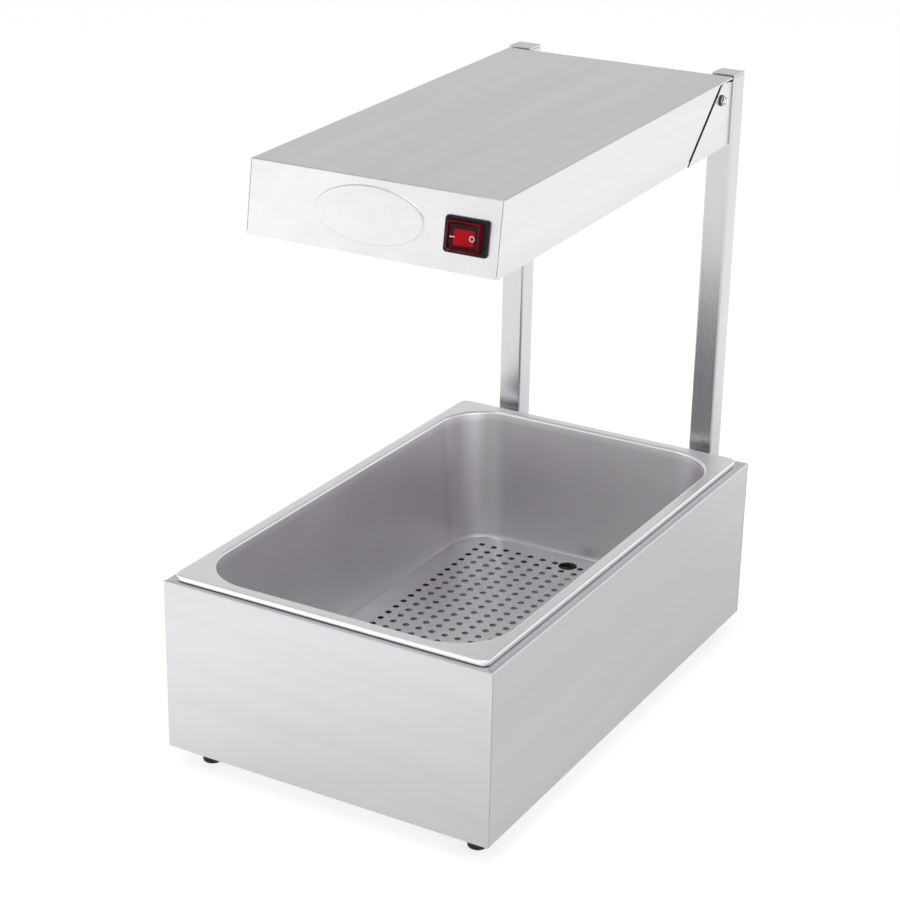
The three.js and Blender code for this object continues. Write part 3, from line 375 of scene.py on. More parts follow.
@dataclass(frozen=True)
class StudioFloor(Finish):
    """The pale floor, which shows itself white to the camera and keeps a soft shadow."""

    glow: float = 0.72
    # In reflections the floor carries a painted shadow, dimmest at this place and brighter further out.
    painted_shadow_centre: Triple = (0.6, 0.0, 0.0)
    painted_shadow_ramp: tuple[Point2, ...] = ((0.5, 0.5), (0.74, 0.62), (1.0, 0.95))

    def shade(self, tree: ShaderTree) -> dict[str, Value]:
        """A matt sheet that is white to the camera; in reflections it carries a painted shadow, dimming
        round one place.

        Args:
            tree: The material's tree.

        Returns:
            Values by socket.
        """
        seen, mirrored, through = (
            tree.add("ShaderNodeLightPath", {}, {}, f"Is {kind} Ray")
            for kind in ("Camera", "Glossy", "Transmission")
        )
        # Painted shadow: in reflections the glow dims towards one place beside the object, standing in for
        # its shadow there.
        inputs = {0: tree.place(), 1: self.painted_shadow_centre}
        reach = tree.add("ShaderNodeVectorMath", {"operation": "DISTANCE"}, inputs, "Value")
        painted_shadow_ramp = tree.ramp(reach, [(at, (level, level, level)) for at, level in self.painted_shadow_ramp])
        shown = (seen + through) * self.glow + mirrored * painted_shadow_ramp
        return {
            "Base Color": self.colour,
            "Roughness": self.roughness,
            "Specular IOR Level": 0.0,
            "Emission Color": tree.ramp(shown, [(0.0, (0.0, 0.0, 0.0)), (1.0, (1.0, 1.0, 1.0))]),
            "Emission Strength": 1.0,
        }


STEEL = (0.62, 0.615, 0.635)
HOOD_TONE, TUBE_TONE = (0.665, 0.66, 0.68), (0.55, 0.545, 0.56)
PAN_TONE, PLATE_TONE = (0.72, 0.705, 0.725), (0.76, 0.75, 0.77)
SHEET_X = BrushedSteel("sheet_steel_across", STEEL, 0.34, "sheet_steel", Grain.X)
SHEET_Y = BrushedSteel("sheet_steel_lengthways", STEEL, 0.34, "sheet_steel", Grain.Y)
HOOD_STEEL = BrushedSteel("hood_steel_lengthways", HOOD_TONE, 0.32, "hood_steel", Grain.Y, streak=0.09)
TUBE_STEEL = BrushedSteel("tube_steel_upright", TUBE_TONE, 0.26, "tube_steel", Grain.Z, streak=0.09)
# The pan's rim, above 188 mm, gets a painted highlight: a lighter base colour.
PAN_STEEL = DrawnSteel("drawn_steel", PAN_TONE, 0.33, "drawn_steel", painted_rim_level=0.188, painted_rim_gain=0.16)
PLATE_STEEL = DrawnSteel("perforated_steel", PLATE_TONE, 0.32, "perforated_steel")
BRIGHT = TurnedMetal("bright_fixing", (0.72, 0.72, 0.73), 0.16, "fixings")
DARK_ZINC = TurnedMetal("dark_zinc", (0.10, 0.10, 0.105), 0.34, "fixings")
REFLECTOR_METAL = TurnedMetal("bright_reflector", (0.78, 0.78, 0.79), 0.12)
FILAMENT = TurnedMetal("filament_wire", (0.42, 0.36, 0.30), 0.35, "quartz")
CERAMIC = Ceramic("lamp_ceramic", (0.80, 0.76, 0.67), 0.65, "lamp_ceramic")
BOOT_SKIN = Clear("clear_red_boot", (0.16, 0.003, 0.006), 0.12, "boot_silicone", alpha=0.08, shine=0.14)
BOOT_WALL = Clear("red_boot_wall", (0.22, 0.003, 0.010), 0.16, "boot_silicone", alpha=0.42, shine=0.15)
QUARTZ = Clear("quartz_tube", (0.85, 0.8, 0.76), 0.10, "quartz", alpha=0.28)
BOOT_FOOT = Moulded("red_boot_foot", (0.17, 0.002, 0.008), 0.3, "boot_silicone", shine=0.15)
# Painted shade: the pivot ears are near-black so that the slit in the hood's side before them reads as
# shade.
SLIT_SHADE_BLACK = Moulded("blackened_steel", (0.012, 0.012, 0.013), 0.5, "blackened_steel")
FOOT_RUBBER = Moulded("foot_rubber", (0.012, 0.012, 0.013), 0.6, "foot_rubber")
NYLON = Moulded("black_nylon", (0.009, 0.009, 0.010), 0.36, "black_nylon", shine=0.15)
RED_LENS = Moulded("red_lens", (0.62, 0.003, 0.010), 0.22, "rocker_red", texture=0.000004, shine=0.12)
SLEEVE = Moulded("wire_sleeve", (0.68, 0.62, 0.52), 0.55, "wire_sleeve")
MARK_WHITE = Moulded("mark_white", (0.95, 0.95, 0.95), 0.4, "rocker_red", texture=0.000004)
FLOOR = StudioFloor("studio_floor", (0.42, 0.42, 0.42), 0.9)


# Mesh toolkit, in millimetres

def rectangle(size: Point2, grow: float, radius: float, steps: int = 8) -> list[Point2]:
    """Rounded rectangle about the origin, anticlockwise.

    Args:
        size: Its width and height.
        grow: How far each side moves out.
        radius: Corner radius.
        steps: Steps in each corner.

    Returns:
        The outline's points.
    """
    r = max(radius, 0.01)
    reach_u, reach_v = (extent / 2 + grow - r for extent in size)
    outline = []
    for corner, (u, v) in enumerate(((-1, -1), (1, -1), (1, 1), (-1, 1))):
        for k in range(steps + 1):
            turn = math.pi / 2 * (corner + 2 + k / steps)
            outline.append((u * reach_u + r * math.cos(turn), v * reach_v + r * math.sin(turn)))
    return outline


def turns(count: int) -> list[float]:
    """Angles spread evenly over a full turn."""
    return [2 * math.pi * k / count for k in range(count)]


def ellipse(half_u: float, half_v: float, count: int) -> list[Point2]:
    """Ellipse about the origin, from half its sizes and its number of points."""
    return [(half_u * math.cos(t), half_v * math.sin(t)) for t in turns(count)]


def polar(reach: Callable[[float], float], count: int) -> list[Point2]:
    """Outline about the origin, from its reach at an angle and its number of points."""
    return [(reach(t) * math.cos(t), reach(t) * math.sin(t)) for t in turns(count)]


def hexagon(radius: float, count: int) -> list[Point2]:
    """Evenly turned points on a hexagon, from its corner radius and their number."""
    half = math.pi / 6
    return polar(lambda t: radius * math.cos(half) / math.cos(t % (2 * half) - half), count)


def quarter(steps: int) -> list[Point2]:
    """Sine and cosine at even steps of a quarter turn."""
    return [(math.sin(math.pi / 2 * k / steps), math.cos(math.pi / 2 * k / steps)) for k in range(steps + 1)]


def level(outline: Sequence[Point2], height: float) -> list[Vector]:
    """Lift a flat outline to a height."""
    return [Vector((u, v, height)) for u, v in outline]


def shift(x: float = 0.0, y: float = 0.0, z: float = 0.0) -> Matrix:
    """A move without a turn."""
    return Matrix.Translation(Vector((x, y, z)))


def added(name: str, data: bpy.types.ID) -> bpy.types.Object:
    """Make an object of its data and put it in the scene.

    Args:
        name: The object's name.
        data: Its mesh, camera or light.

    Returns:
        The object.
    """
    thing = bpy.data.objects.new(name, data)
    bpy.context.scene.collection.objects.link(thing)
    return thing


class Draft:
    """A mesh in the making, in millimetres."""

    def __init__(self) -> None:
        """Start empty."""
        self.points: list[Vector] = []
        self.faces: list[tuple[int, ...]] = []

    def skin(self, rings: Sequence[Sequence[Vector]], capped: bool = True, looped: bool = False) -> "Draft":
        """Add a skin through rings of equal point counts.

        Args:
            rings: The rings in order.
            capped: Close both ends with a face.
            looped: Join the last ring to the first.

        Returns:
            The draft itself.
        """
        base = len(self.points)
        count = len(rings[0])
        for ring in rings:
            self.points.extend(Vector(p) for p in ring)
        last = base + (len(rings) - 1) * count
        for r in range(len(rings) if looped else len(rings) - 1):
            here = base + r * count
            there = base + ((r + 1) % len(rings)) * count
            for k in range(count):
                after = (k + 1) % count
                self.faces.append((here + k, here + after, there + after, there + k))
        if capped and not looped:
            self.faces.append(tuple(reversed(range(base, base + count))))
            self.faces.append(tuple(range(last, last + count)))
        return self

    def lathe(self, profile: Sequence[Point2], count: int) -> "Draft":
        """Add a profile of (radius, height) turned about Z; a zero radius makes a pole.

        Args:
            profile: The profile's points.
            count: Points round the axis.

        Returns:
            The draft itself.
        """
        rings = [level(ellipse(max(r, 1e-4), max(r, 1e-4), count), z) for r, z in profile]
        return self.skin(rings, capped=False, looped=profile[0][0] > 0 and profile[-1][0] > 0)

    def rod(self, start: Vector, end: Vector, radius: float, count: int = 16) -> "Draft":
        """Add a round rod between two points.

        Args:
            start: Its first end.
            end: Its other end.
            radius: Its radius.
            count: Points round it.

        Returns:
            The draft itself.
        """
        along = end - start
        turn = along.to_track_quat("Z", "Y").to_matrix().to_4x4()
        round_face = ellipse(radius, radius, count)
        other = Draft().skin([level(round_face, 0.0), level(round_face, along.length)])
        return self.join(other.moved(Matrix.Translation(start) @ turn))

    def moved(self, matrix: Matrix) -> "Draft":
        """Place the whole draft by a matrix, and return it."""
        self.points = [matrix @ p for p in self.points]
        return self

    def join(self, other: "Draft") -> "Draft":
        """Add another draft's points and faces.

        Args:
            other: The other draft.

        Returns:
            The draft itself.
        """
        base = len(self.points)
        self.points.extend(other.points)
        self.faces.extend(tuple(base + i for i in face) for face in other.faces)
        return self

    def finished(self, name: str, place: Matrix = Matrix.Identity(4)) -> bpy.types.Object:
        """Make the object, in metres in the row frame.

        Args:
            name: The piece's name.
            place: The draft's own frame, with its origin in millimetres.

        Returns:
            The new object, at the origin.
        """
        mesh = bpy.data.meshes.new(name)
        mesh.from_pydata([tuple(p) for p in self.points], [], self.faces)
        bm = bmesh.new()
        bm.from_mesh(mesh)
        bmesh.ops.remove_doubles(bm, verts=bm.verts, dist=0.001)
        bmesh.ops.recalc_face_normals(bm, faces=bm.faces)
        bm.to_mesh(mesh)
        bm.free()
        mesh.transform(Matrix.Scale(MM, 4) @ place)
        return added(name, mesh)


def facing(place: Vector, outwards: Vector, upwards: Vector) -> Matrix:
    """Frame whose Z points outwards and whose Y is near upwards.

    Args:
        place: The origin, in millimetres.
        outwards: The direction of Z.
        upwards: A direction near that of Y.

    Returns:
        The frame's matrix.
    """
    z = outwards.normalized()
    x = upwards.cross(z).normalized()
    return Matrix.Translation(place) @ Matrix((x, z.cross(x), z)).transposed().to_4x4()


def boxed(node: str, place: Matrix = Matrix.Identity(4)) -> tuple[Vector, Vector, Vector]:
    """Box of a CAD node in the row frame, or in a frame of its own.

    Args:
        node: The node's name.
        place: The frame, with its origin in millimetres.

    Returns:
        Lowest corner, highest corner and middle, in millimetres.
    """
    inverse = place.inverted()
    points = [inverse @ (v.co / MM) for v in frame["nodes"][node].data.vertices]
    low, high = (Vector([end(p[axis] for p in points) for axis in range(3)]) for end in (min, max))
    return low, high, (low + high) / 2


def joint_place(name: str) -> Matrix:
    """Frame at a joint, in millimetres."""
    joint = next(j for j in frame["joints"] if j["name"] == name)
    return Matrix.Translation(Vector(joint["pos_m"]) / MM)


# Dressing of pieces

def dress(piece: bpy.types.Object, body: str, finish: Finish, stands_for: Sequence[str] = (),
          angle: float = 38.0, bevel: float = 0.0) -> None:
    """Give a piece its finish, its body and the nodes that it stands for.

    Args:
        piece: The piece.
        body: The body that it rides on.
        finish: Its finish.
        stands_for: CAD nodes that it replaces.
        angle: Sharpest smooth edge, in degrees.
        bevel: Width of the bevel on its sharp edges, in millimetres, or none.
    """
    piece.data.shade_smooth()
    piece.data.set_sharp_from_angle(angle=math.radians(angle))
    if bevel:
        edges = piece.modifiers.new("broken_edges", "BEVEL")
        edges.width, edges.segments = bevel * MM, 2
        edges.limit_method, edges.angle_limit = "ANGLE", math.radians(BEVEL_FROM)
    piece.modifiers.new("even_normals", "WEIGHTED_NORMAL").keep_sharp = True
    piece.data.materials.clear()
    piece.data.materials.append(finish.material())
    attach(piece, body)
    if stands_for:
        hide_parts(*stands_for)
    log.info("piece %s on %s, %d faces", piece.name, body, len(piece.data.polygons))


def dress_skin(node: str, body: str, finish: Finish, bevel: float = 0.0, angle: float = 38.0) -> None:
    """Replace a CAD node by a copy with its flat faces merged, so that it can be shaded smoothly.

    Args:
        node: The node's name.
        body: The body that it rides on.
        finish: Its finish.
        bevel: Width of the bevel on its sharp edges, in millimetres, or none.
        angle: Sharpest smooth edge, in degrees.
    """
    mesh = frame["nodes"][node].data.copy()
    bm = bmesh.new()
    bm.from_mesh(mesh)
    bmesh.ops.remove_doubles(bm, verts=bm.verts, dist=2e-6)
    bmesh.ops.dissolve_limit(bm, angle_limit=math.radians(0.4), verts=bm.verts, edges=bm.edges)
    bm.to_mesh(mesh)
    bm.free()
    dress(added(f"{node}_skin", mesh), body, finish, [node], angle, bevel)


def dress_node(node: str, finish: Finish) -> None:
    """Give a CAD node that stays its finish.

    Args:
        node: The node's name.
        finish: Its finish.
    """
    materials = frame["nodes"][node].data.materials
    materials.clear()
    materials.append(finish.material())
    log.info("node %s as %s", node, finish.name)


# Geometry Nodes toolkit

class NodeBuilder:
    """A Geometry Nodes tree that is run once and leaves a plain mesh."""

    def __init__(self, name: str) -> None:
        """Start an empty tree."""
        self.tree = bpy.data.node_groups.new(name, "GeometryNodeTree")
        self.tree.interface.new_socket("Geometry", in_out="OUTPUT", socket_type="NodeSocketGeometry")

    def add(self, kind: str, inputs: dict, output: Union[int, str] = 0, **settings) -> bpy.types.NodeSocket:
        """Add a node.

        Args:
            kind: The node's type, without "GeometryNode".
            inputs: Values, links or lists of links of its sockets.
            output: The output to return.
            **settings: The node's settings.

        Returns:
            That output.
        """
        node = self.tree.nodes.new(kind if kind.startswith("ShaderNode") else f"GeometryNode{kind}")
        for setting, value in settings.items():
            setattr(node, setting, value)
        for key, value in inputs.items():
            for one in value if isinstance(value, list) else [value]:
                if isinstance(one, bpy.types.NodeSocket):
                    self.tree.links.new(one, node.inputs[key])
                else:
                    node.inputs[key].default_value = one
        return node.outputs[output]

    def maths(self, operation: str, first: object, second: object) -> bpy.types.NodeSocket:
        """Add one Math node."""
        return self.add("ShaderNodeMath", {0: first, 1: second}, operation=operation)

    def run(self, name: str, shape: bpy.types.NodeSocket, finish: Finish, place: Matrix) -> bpy.types.Object:
        """Realise the tree's shape as a plain mesh piece.

        Args:
            name: The piece's name.
            shape: The tree's last geometry, in metres.
            finish: The finish that the tree sets.
            place: The frame that the shape stands in, with its origin in millimetres.

        Returns:
            The piece, at the origin.
        """
        realised = self.add("RealizeInstances", {"Geometry": shape})
        last = self.add("SetMaterial", {"Geometry": realised, "Material": finish.material()})
        self.tree.links.new(last, self.tree.nodes.new("NodeGroupOutput").inputs["Geometry"])
        carrier = added(f"{name}_carrier", bpy.data.meshes.new(f"{name}_carrier"))
        carrier.modifiers.new("build", "NODES").node_group = self.tree
        graph = bpy.context.evaluated_depsgraph_get()
        mesh = bpy.data.meshes.new_from_object(carrier.evaluated_get(graph))
        bpy.data.objects.remove(carrier)
        mesh.name = name
        mesh.transform(Matrix.Translation(place.to_translation() * MM) @ place.to_3x3().to_4x4())
        return added(name, mesh)


# Fixings that several places share

class Head(Enum):
    """Head of a screw or bolt, as the end of its piece's name."""

    SOCKET = "head"
    HEXAGON = "hex"


@dataclass
class Fixings:
    """Screws, bolts and nuts, each along Z from its seat."""

    facets: int = 34
    hexagon_facets: int = 48
    socket_share: float = 0.52
    socket_depth: float = 0.6
    socket_land: float = 1.15
    crown_share: float = 0.98
    brim_share: float = 0.72
    tails: Point2 = (0.2, 0.3)
    chamfer: float = 0.9
    corner_share: float = 0.15
    face_share: float = 0.95

    def seat(self, node: str, out: Vector, head: float = 0.0) -> tuple[Matrix, float, float]:
        """Find a fastener's seat.

        Args:
            node: The fastener's node.
            out: The direction that it points out in.
            head: The head's height, or none where it starts at its seat.

        Returns:
            The seat's frame, the node's length and its radius.
        """
        low, high, middle = boxed(node)
        size = high - low
        whole = abs(size.dot(out))
        place = middle + out * (whole / 2 - head if head else -whole / 2)
        return facing(place, out, Y if out.z else Z), whole, (size.z if out.x else size.x) / 2

    def headed(self, node: str, out: Vector, kind: Head, height: float, shank: float,
               radius: float = 0.0) -> None:
        """Build one screw or bolt.

        Args:
            node: The node that it stands for.
            out: The direction that its head points in.
            kind: Its head.
            height: The head's height.
            shank: The shank's radius.
            radius: The head's radius, or none for the node's own.
        """
        place, whole, own = self.seat(node, out, height)
        if kind is Head.SOCKET:
            head, tail = self.socket_head(radius or own, height), self.tails[0]
        else:
            head, tail = self.block(radius or own, height, self.chamfer), self.tails[1]
        head.rod(Z * (height - whole), Z * tail, shank)
        dress(head.finished(f"{node}_{kind.value}", place), "stand", BRIGHT, [node])

    def socket_head(self, radius: float, height: float) -> Draft:
        """Button head with a hexagon socket.

        Args:
            radius: The head's radius.
            height: Its height.

        Returns:
            The head.
        """
        across = radius * self.socket_share
        centre = ellipse(1e-3, 1e-3, self.facets)
        socket, sunk = hexagon(across, self.facets), height * (1 - self.socket_depth)
        rings = [level(centre, 0.0), level(ellipse(radius, radius, self.facets), 0.0)]
        for s, c in quarter(5)[:5]:
            r = radius - (radius - across * self.socket_land) * s * self.crown_share
            rings.append(level(ellipse(r, r, self.facets), height * (1 - self.brim_share * c)))
        rings += [level(socket, height), level(socket, sunk), level(centre, sunk)]
        return Draft().skin(rings, capped=False)

    def block(self, radius: float, height: float, chamfer: float) -> Draft:
        """Hexagonal block with its outer corners turned off.

        Args:
            radius: Its corner radius.
            height: Its height.
            chamfer: How far down the corners are turned off.

        Returns:
            The block.
        """
        flats = radius * math.cos(math.pi / 6)
        reach = flats + (radius - flats) * self.corner_share
        corners = hexagon(radius, self.hexagon_facets)
        shares = [min(1.0, reach / math.hypot(u, v)) for u, v in corners]
        turned_off = [(u * share, v * share) for (u, v), share in zip(corners, shares)]
        face = ellipse(flats * self.face_share, flats * self.face_share, self.hexagon_facets)
        rings = [level(corners, 0.0), level(corners, height - chamfer)]
        return Draft().skin(rings + [level(turned_off, height - chamfer * 0.25), level(face, height)])


FIXINGS = Fixings()


# Cabinet

@dataclass
class Cabinet:
    """Folded panels, a base tray and four rubber feet."""

    edge: float = 0.25
    screw_radius: float = 4.0
    screw_height: float = 2.4
    shank: float = 2.0
    sole_step: float = 0.7
    sole_round: float = 1.6
    recess: tuple[Point2, ...] = ((2.15, 8.0), (4.6, 8.0), (4.6, 1.0), (5.2, 0.25), (6.2, 0.0))
    brow: tuple[Point2, ...] = ((0.12, 0.6), (0.5, 0.0))

    def build(self) -> None:
        """Dress the panels, the base and the feet."""
        for side in ("front", "back"):
            dress_skin(f"cabinet_{side}", "stand", SHEET_X, self.edge)
        for side, _ in SIDES:
            dress_skin(f"cabinet_side_{side}", "stand", SHEET_Y, self.edge)
        for end in ("front", "rear"):
            for side, _ in SIDES:
                self.foot(f"{end}_{side}")
        dress_node("cabinet_base", SHEET_Y)

    def foot(self, where: str) -> None:
        """Build one foot and the screw in its recess.

        Args:
            where: The foot's place in its name.
        """
        low, high, middle = boxed(f"foot_{where}")
        radius, top = (high.x - low.x) / 2, high.z - low.z
        r = self.sole_round
        inner = radius - self.sole_step - r
        profile = [(self.recess[0][0], top), *self.recess, (inner, 0.0)]
        profile += [(inner + r * s, r - r * c) for s, c in quarter(3)[1:]]
        profile += [(radius - inset, top - drop) for inset, drop in self.brow]
        place = shift(middle.x, middle.y, low.z)
        piece = Draft().lathe(profile, 48).finished(f"foot_{where}_moulded", place)
        dress(piece, "stand", FOOT_RUBBER, [f"foot_{where}"], angle=30)
        screw = f"foot_screw_{where}"
        FIXINGS.headed(screw, -Z, Head.SOCKET, self.screw_height, self.shank, self.screw_radius)


# Pan and drainer plate

@dataclass
class Pan:
    """Drawn catering pan with a flat rim and a turned-down edge."""

    sheet: float = 0.8
    rim_land: float = 12.5
    edge_drop: float = 6.2
    edge_round: float = 1.6
    edge_curl: float = 2.2
    edge_corner: float = 9.0
    mouth_round: float = 3.0
    mouth_corner: float = 55.0
    wall_lean: float = 15.0
    wall_corner: float = 45.0
    floor_fillet: float = 16.0
    corner_steps: int = 16

    def build(self) -> None:
        """Build the pan."""
        low, high, middle = boxed("gn_pan")
        *self.size, self.depth = high - low
        inside = self.inside()
        rings = [self.ring(*station) for station in reversed(inside)]
        rings += [self.ring(inset, drop, self.edge_corner - inset) for inset, drop in self.edge()]
        rings += [self.ring(*self.outside(*station)) for station in inside]
        piece = Draft().skin(rings).finished("pan_shell", shift(middle.x, middle.y, high.z))
        dress(piece, "pan", PAN_STEEL, ["gn_pan"], angle=50)

    def ring(self, inset: float, drop: float, corner: float) -> list[Vector]:
        """One closed ring, in from the pan's outline and down from its rim."""
        return level(rectangle(self.size, -inset, corner, self.corner_steps), -drop)

    def inside(self) -> list[Triple]:
        """Stations of the inner skin, from the mouth to the floor.

        Returns:
            Inset, drop and corner of each.
        """
        r, fillet = self.mouth_round, self.floor_fillet
        start, foot = self.rim_land + self.wall_lean, self.depth - self.sheet
        mouth = [(r * (1 - s), r * (1 - c)) for s, c in quarter(6)]
        floor = [(fillet * (1 - c), foot - fillet * (1 - s)) for s, c in quarter(12)]
        stations = [(self.rim_land - inset, drop, self.mouth_corner + inset) for inset, drop in mouth]
        return stations + [(start + inset, drop, self.wall_corner - inset) for inset, drop in floor]

    def outside(self, inset: float, drop: float, corner: float) -> Triple:
        """The outer skin's station that lies one sheet outside an inner one.

        Args:
            inset: The inner station's inset.
            drop: Its drop.
            corner: Its corner radius.

        Returns:
            Inset, drop and corner of the outer station.
        """
        if drop <= self.mouth_round:
            sine = 1 - drop / self.mouth_round
        else:
            sine = 1 - (self.depth - self.sheet - drop) / self.floor_fillet
        across = self.sheet * math.sqrt(max(0.0, 1 - sine * sine))
        return inset - across, drop + self.sheet * sine, corner + across

    def edge(self) -> list[Point2]:
        """Follow the turned-down edge from the rim's top to its underside.

        Returns:
            Inset and drop of each station.
        """
        straight = self.edge_drop - self.edge_curl
        r, curl, inner = self.edge_round, self.edge_curl, self.edge_curl - self.sheet
        points = [(r * (1 - s), r * (1 - c)) for s, c in quarter(5)]
        points += [(curl * (1 - c), straight + curl * s) for s, c in quarter(5)]
        points += [(curl - inner * c, straight + inner * s) for s, c in reversed(quarter(5))]
        return points + [(self.sheet, r), (r, self.sheet)]


@dataclass
class DrainerPlate:
    """Plate with rows of round holes and a finger hole at each end of its middle row."""

    pitch: float = 15.0
    hole: float = 6.7
    finger_hole: float = 20.0
    margin: float = 20.0
    corner: float = 42.5
    hole_sides: int = 20

    def build(self) -> None:
        """Build the plate from a tree that fills an outline with its holes left open."""
        low, high, middle = boxed("drainer_plate")
        size = high - low
        tree = NodeBuilder("perforated_plate")
        sharp = tree.add("CurvePrimitiveQuadrilateral", {"Width": size.x * MM, "Height": size.y * MM})
        inputs = {"Curve": sharp, "Radius": self.corner * MM, "Count": 16}
        flat = tree.add("FilletCurve", inputs, mode="POLY")
        joined = tree.add("JoinGeometry", {"Geometry": [flat, *self.holes(tree, size)]})
        curves = tree.add("RealizeInstances", {"Geometry": joined})
        filled = tree.add("FillCurve", {"Curve": curves})
        raised = tree.add("ExtrudeMesh", {"Mesh": filled, "Offset Scale": size.z * MM, "Individual": False})
        under = tree.add("FlipFaces", {"Mesh": filled})
        both = tree.add("JoinGeometry", {"Geometry": [raised, under]})
        plate = tree.add("MergeByDistance", {"Geometry": both, "Distance": 1e-6})
        piece = tree.run("drainer_sheet", plate, PLATE_STEEL, shift(middle.x, middle.y, low.z))
        dress(piece, "drainer", PLATE_STEEL, ["drainer_plate"], angle=30)

    def holes(self, tree: NodeBuilder, size: Vector) -> list[bpy.types.NodeSocket]:
        """Curves of the small holes, and of the finger holes that take the place of two of them.

        Args:
            tree: The tree to build in.
            size: The plate's size.

        Returns:
            Instances of the small holes and of the finger holes.
        """
        columns, rows = (2 * int((extent / 2 - self.margin) // self.pitch) for extent in (size.x, size.y))
        across, along = columns * self.pitch * MM, rows * self.pitch * MM
        inputs = {"Size X": across, "Size Y": along, "Vertices X": columns + 1, "Vertices Y": rows + 1}
        grid = tree.add("MeshGrid", inputs, "Mesh")
        place = tree.add("InputPosition", {})
        x, y = (tree.add("ShaderNodeSeparateXYZ", {"Vector": place}, axis) for axis in "XY")
        near_line = tree.maths("LESS_THAN", tree.maths("ABSOLUTE", x, 0.0), 1e-4)
        at_end = tree.maths("GREATER_THAN", tree.maths("ABSOLUTE", y, 0.0), along / 2 - 1e-4)
        finger = tree.maths("MULTIPLY", near_line, at_end)
        sets = []
        for chosen, bore in ((tree.maths("SUBTRACT", 1.0, finger), self.hole), (finger, self.finger_hole)):
            ring = tree.add("CurvePrimitiveCircle", {"Resolution": self.hole_sides, "Radius": bore / 2 * MM})
            inputs = {"Points": grid, "Selection": chosen, "Instance": ring}
            sets.append(tree.add("InstanceOnPoints", inputs))
        return sets


# Posts, bracket and pivots

@dataclass
class Posts:
    """Square tubes with closed tops, pads, backing straps and their bolts."""

    bolt_head: float = 3.3
    bolt_radius: float = 3.0

    def build(self) -> None:
        """Dress both posts and their fittings."""
        for side, _ in SIDES:
            for node in (f"post_{side}", f"post_cap_{side}"):
                dress_skin(node, "stand", TUBE_STEEL)
            for node in (f"post_pad_{side}", f"post_backing_{side}"):
                dress_node(node, TUBE_STEEL)
            for row in ("lower", "upper"):
                node = f"post_bolt_{row}_{side}"
                FIXINGS.headed(node, Y, Head.HEXAGON, self.bolt_head, self.bolt_radius)


@dataclass
class Bracket:
    """The bracket between the posts and the hood, its screws and the pivot fasteners."""

    screw_head: float = 2.6
    screw_radius: float = 2.5
    washer_bore: float = 3.15
    washer_round: float = 0.35
    nut_height: float = 2.8
    nut_chamfer: float = 0.8
    dome_sunk: float = 0.4
    dome_radius: float = 3.8
    hex_radius: float = 4.8
    bolt_radius: float = 3.0
    bolt_head: float = 4.0
    head_radius: float = 5.8

    def build(self) -> None:
        """Dress the bracket and build its fasteners."""
        dress_skin("hood_bracket", "stand", HOOD_STEEL, 0.2)
        for side, sign in SIDES:
            for row in ("lower", "upper"):
                node = f"bracket_screw_{row}_{side}"
                FIXINGS.headed(node, -Y, Head.SOCKET, self.screw_head, self.screw_radius)
            self.washer(f"pivot_washer_{side}", X * sign)
            self.cap_nut(f"pivot_cap_nut_{side}", X * sign)
            node = f"pivot_bolt_{side}"
            FIXINGS.headed(node, -X * sign, Head.HEXAGON, self.bolt_head, self.bolt_radius, self.head_radius)

    def washer(self, node: str, out: Vector) -> None:
        """Build the washer outside one wing.

        Args:
            node: The washer's node.
            out: The direction that it faces.
        """
        place, thick, radius = FIXINGS.seat(node, out)
        r, bore = self.washer_round, self.washer_bore
        profile = [(bore, 0.0), (radius, 0.0), (radius, thick - r), (radius - r * 0.3, thick - r * 0.3)]
        profile += [(radius - r, thick), (bore, thick)]
        piece = Draft().lathe(profile, 48).finished(f"{node}_turned", place)
        dress(piece, "stand", DARK_ZINC, [node])

    def cap_nut(self, node: str, out: Vector) -> None:
        """Build the domed nut on one pivot bolt.

        Args:
            node: The nut's node.
            out: The direction that it faces.
        """
        place, whole, _ = FIXINGS.seat(node, out)
        top, r = self.nut_height, self.dome_radius
        dome = [(0.0, top - self.dome_sunk), (r, top - self.dome_sunk)]
        dome += [(r * c, top + (whole - top) * s) for s, c in quarter(8)]
        nut = FIXINGS.block(self.hex_radius, top, self.nut_chamfer).join(Draft().lathe(dome, 40))
        dress(nut.finished(f"{node}_domed", place), "stand", BRIGHT, [node])


# Hood

@dataclass
class Hood:
    """The heated hood, which hangs nose-down by its rest angle on the pivot line."""

    rest_angle: float = 2.1
    slant: float = 10.4
    oval_half_width: float = 53.5
    oval_half_height: float = 24.5
    oval_from_centre: float = -1.5
    oval_above_lip: float = 34.5
    oval_rise: float = 0.75
    oval_root: float = 0.25
    oval_overlap: float = 0.6
    oval_shoulder: float = 2.4
    front_foot: float = -451.93
    lip_height: float = -46.5

    def frame(self) -> Matrix:
        """The hood's own frame, in millimetres: its origin on the pivot line."""
        return joint_place("hood_tilt") @ Matrix.Rotation(math.radians(self.rest_angle), 4, "X")

    def front(self) -> Matrix:
        """Frame on the hood's front: X across, Y up its slope, Z out of its face."""
        foot = shift(0, self.front_foot, self.lip_height)
        return self.frame() @ foot @ Matrix.Rotation(math.radians(90 - self.slant), 4, "X")

    def build(self) -> None:
        """Dress the hood's sheets and build the oval."""
        dress_skin("hood_shell", "hood", HOOD_STEEL, 0.15)
        self.oval()
        # The pivot ears get a painted shade: near-black, so the slit in front of them reads dark.
        for side, _ in SIDES:
            dress_skin(f"pivot_ear_{side}", "hood", SLIT_SHADE_BLACK, 0.2)
        dress_node("hood_rear_panel", SHEET_X)
        for node in ("reflector", "reflector_end_front", "reflector_end_rear"):
            dress_node(node, REFLECTOR_METAL)

    def oval(self) -> None:
        """Build the bare raised oval on the front, with a soft shoulder."""
        rings = []
        for s, c in quarter(8):
            inset = self.oval_shoulder * (1 - c) - self.oval_overlap
            outline = ellipse(self.oval_half_width - inset, self.oval_half_height - inset, 96)
            rings.append(level(outline, (self.oval_rise + self.oval_root) * s - self.oval_root))
        place = self.front() @ shift(self.oval_from_centre, self.oval_above_lip)
        dress(Draft().skin(rings).finished("front_oval", place), "hood", HOOD_STEEL, angle=60)


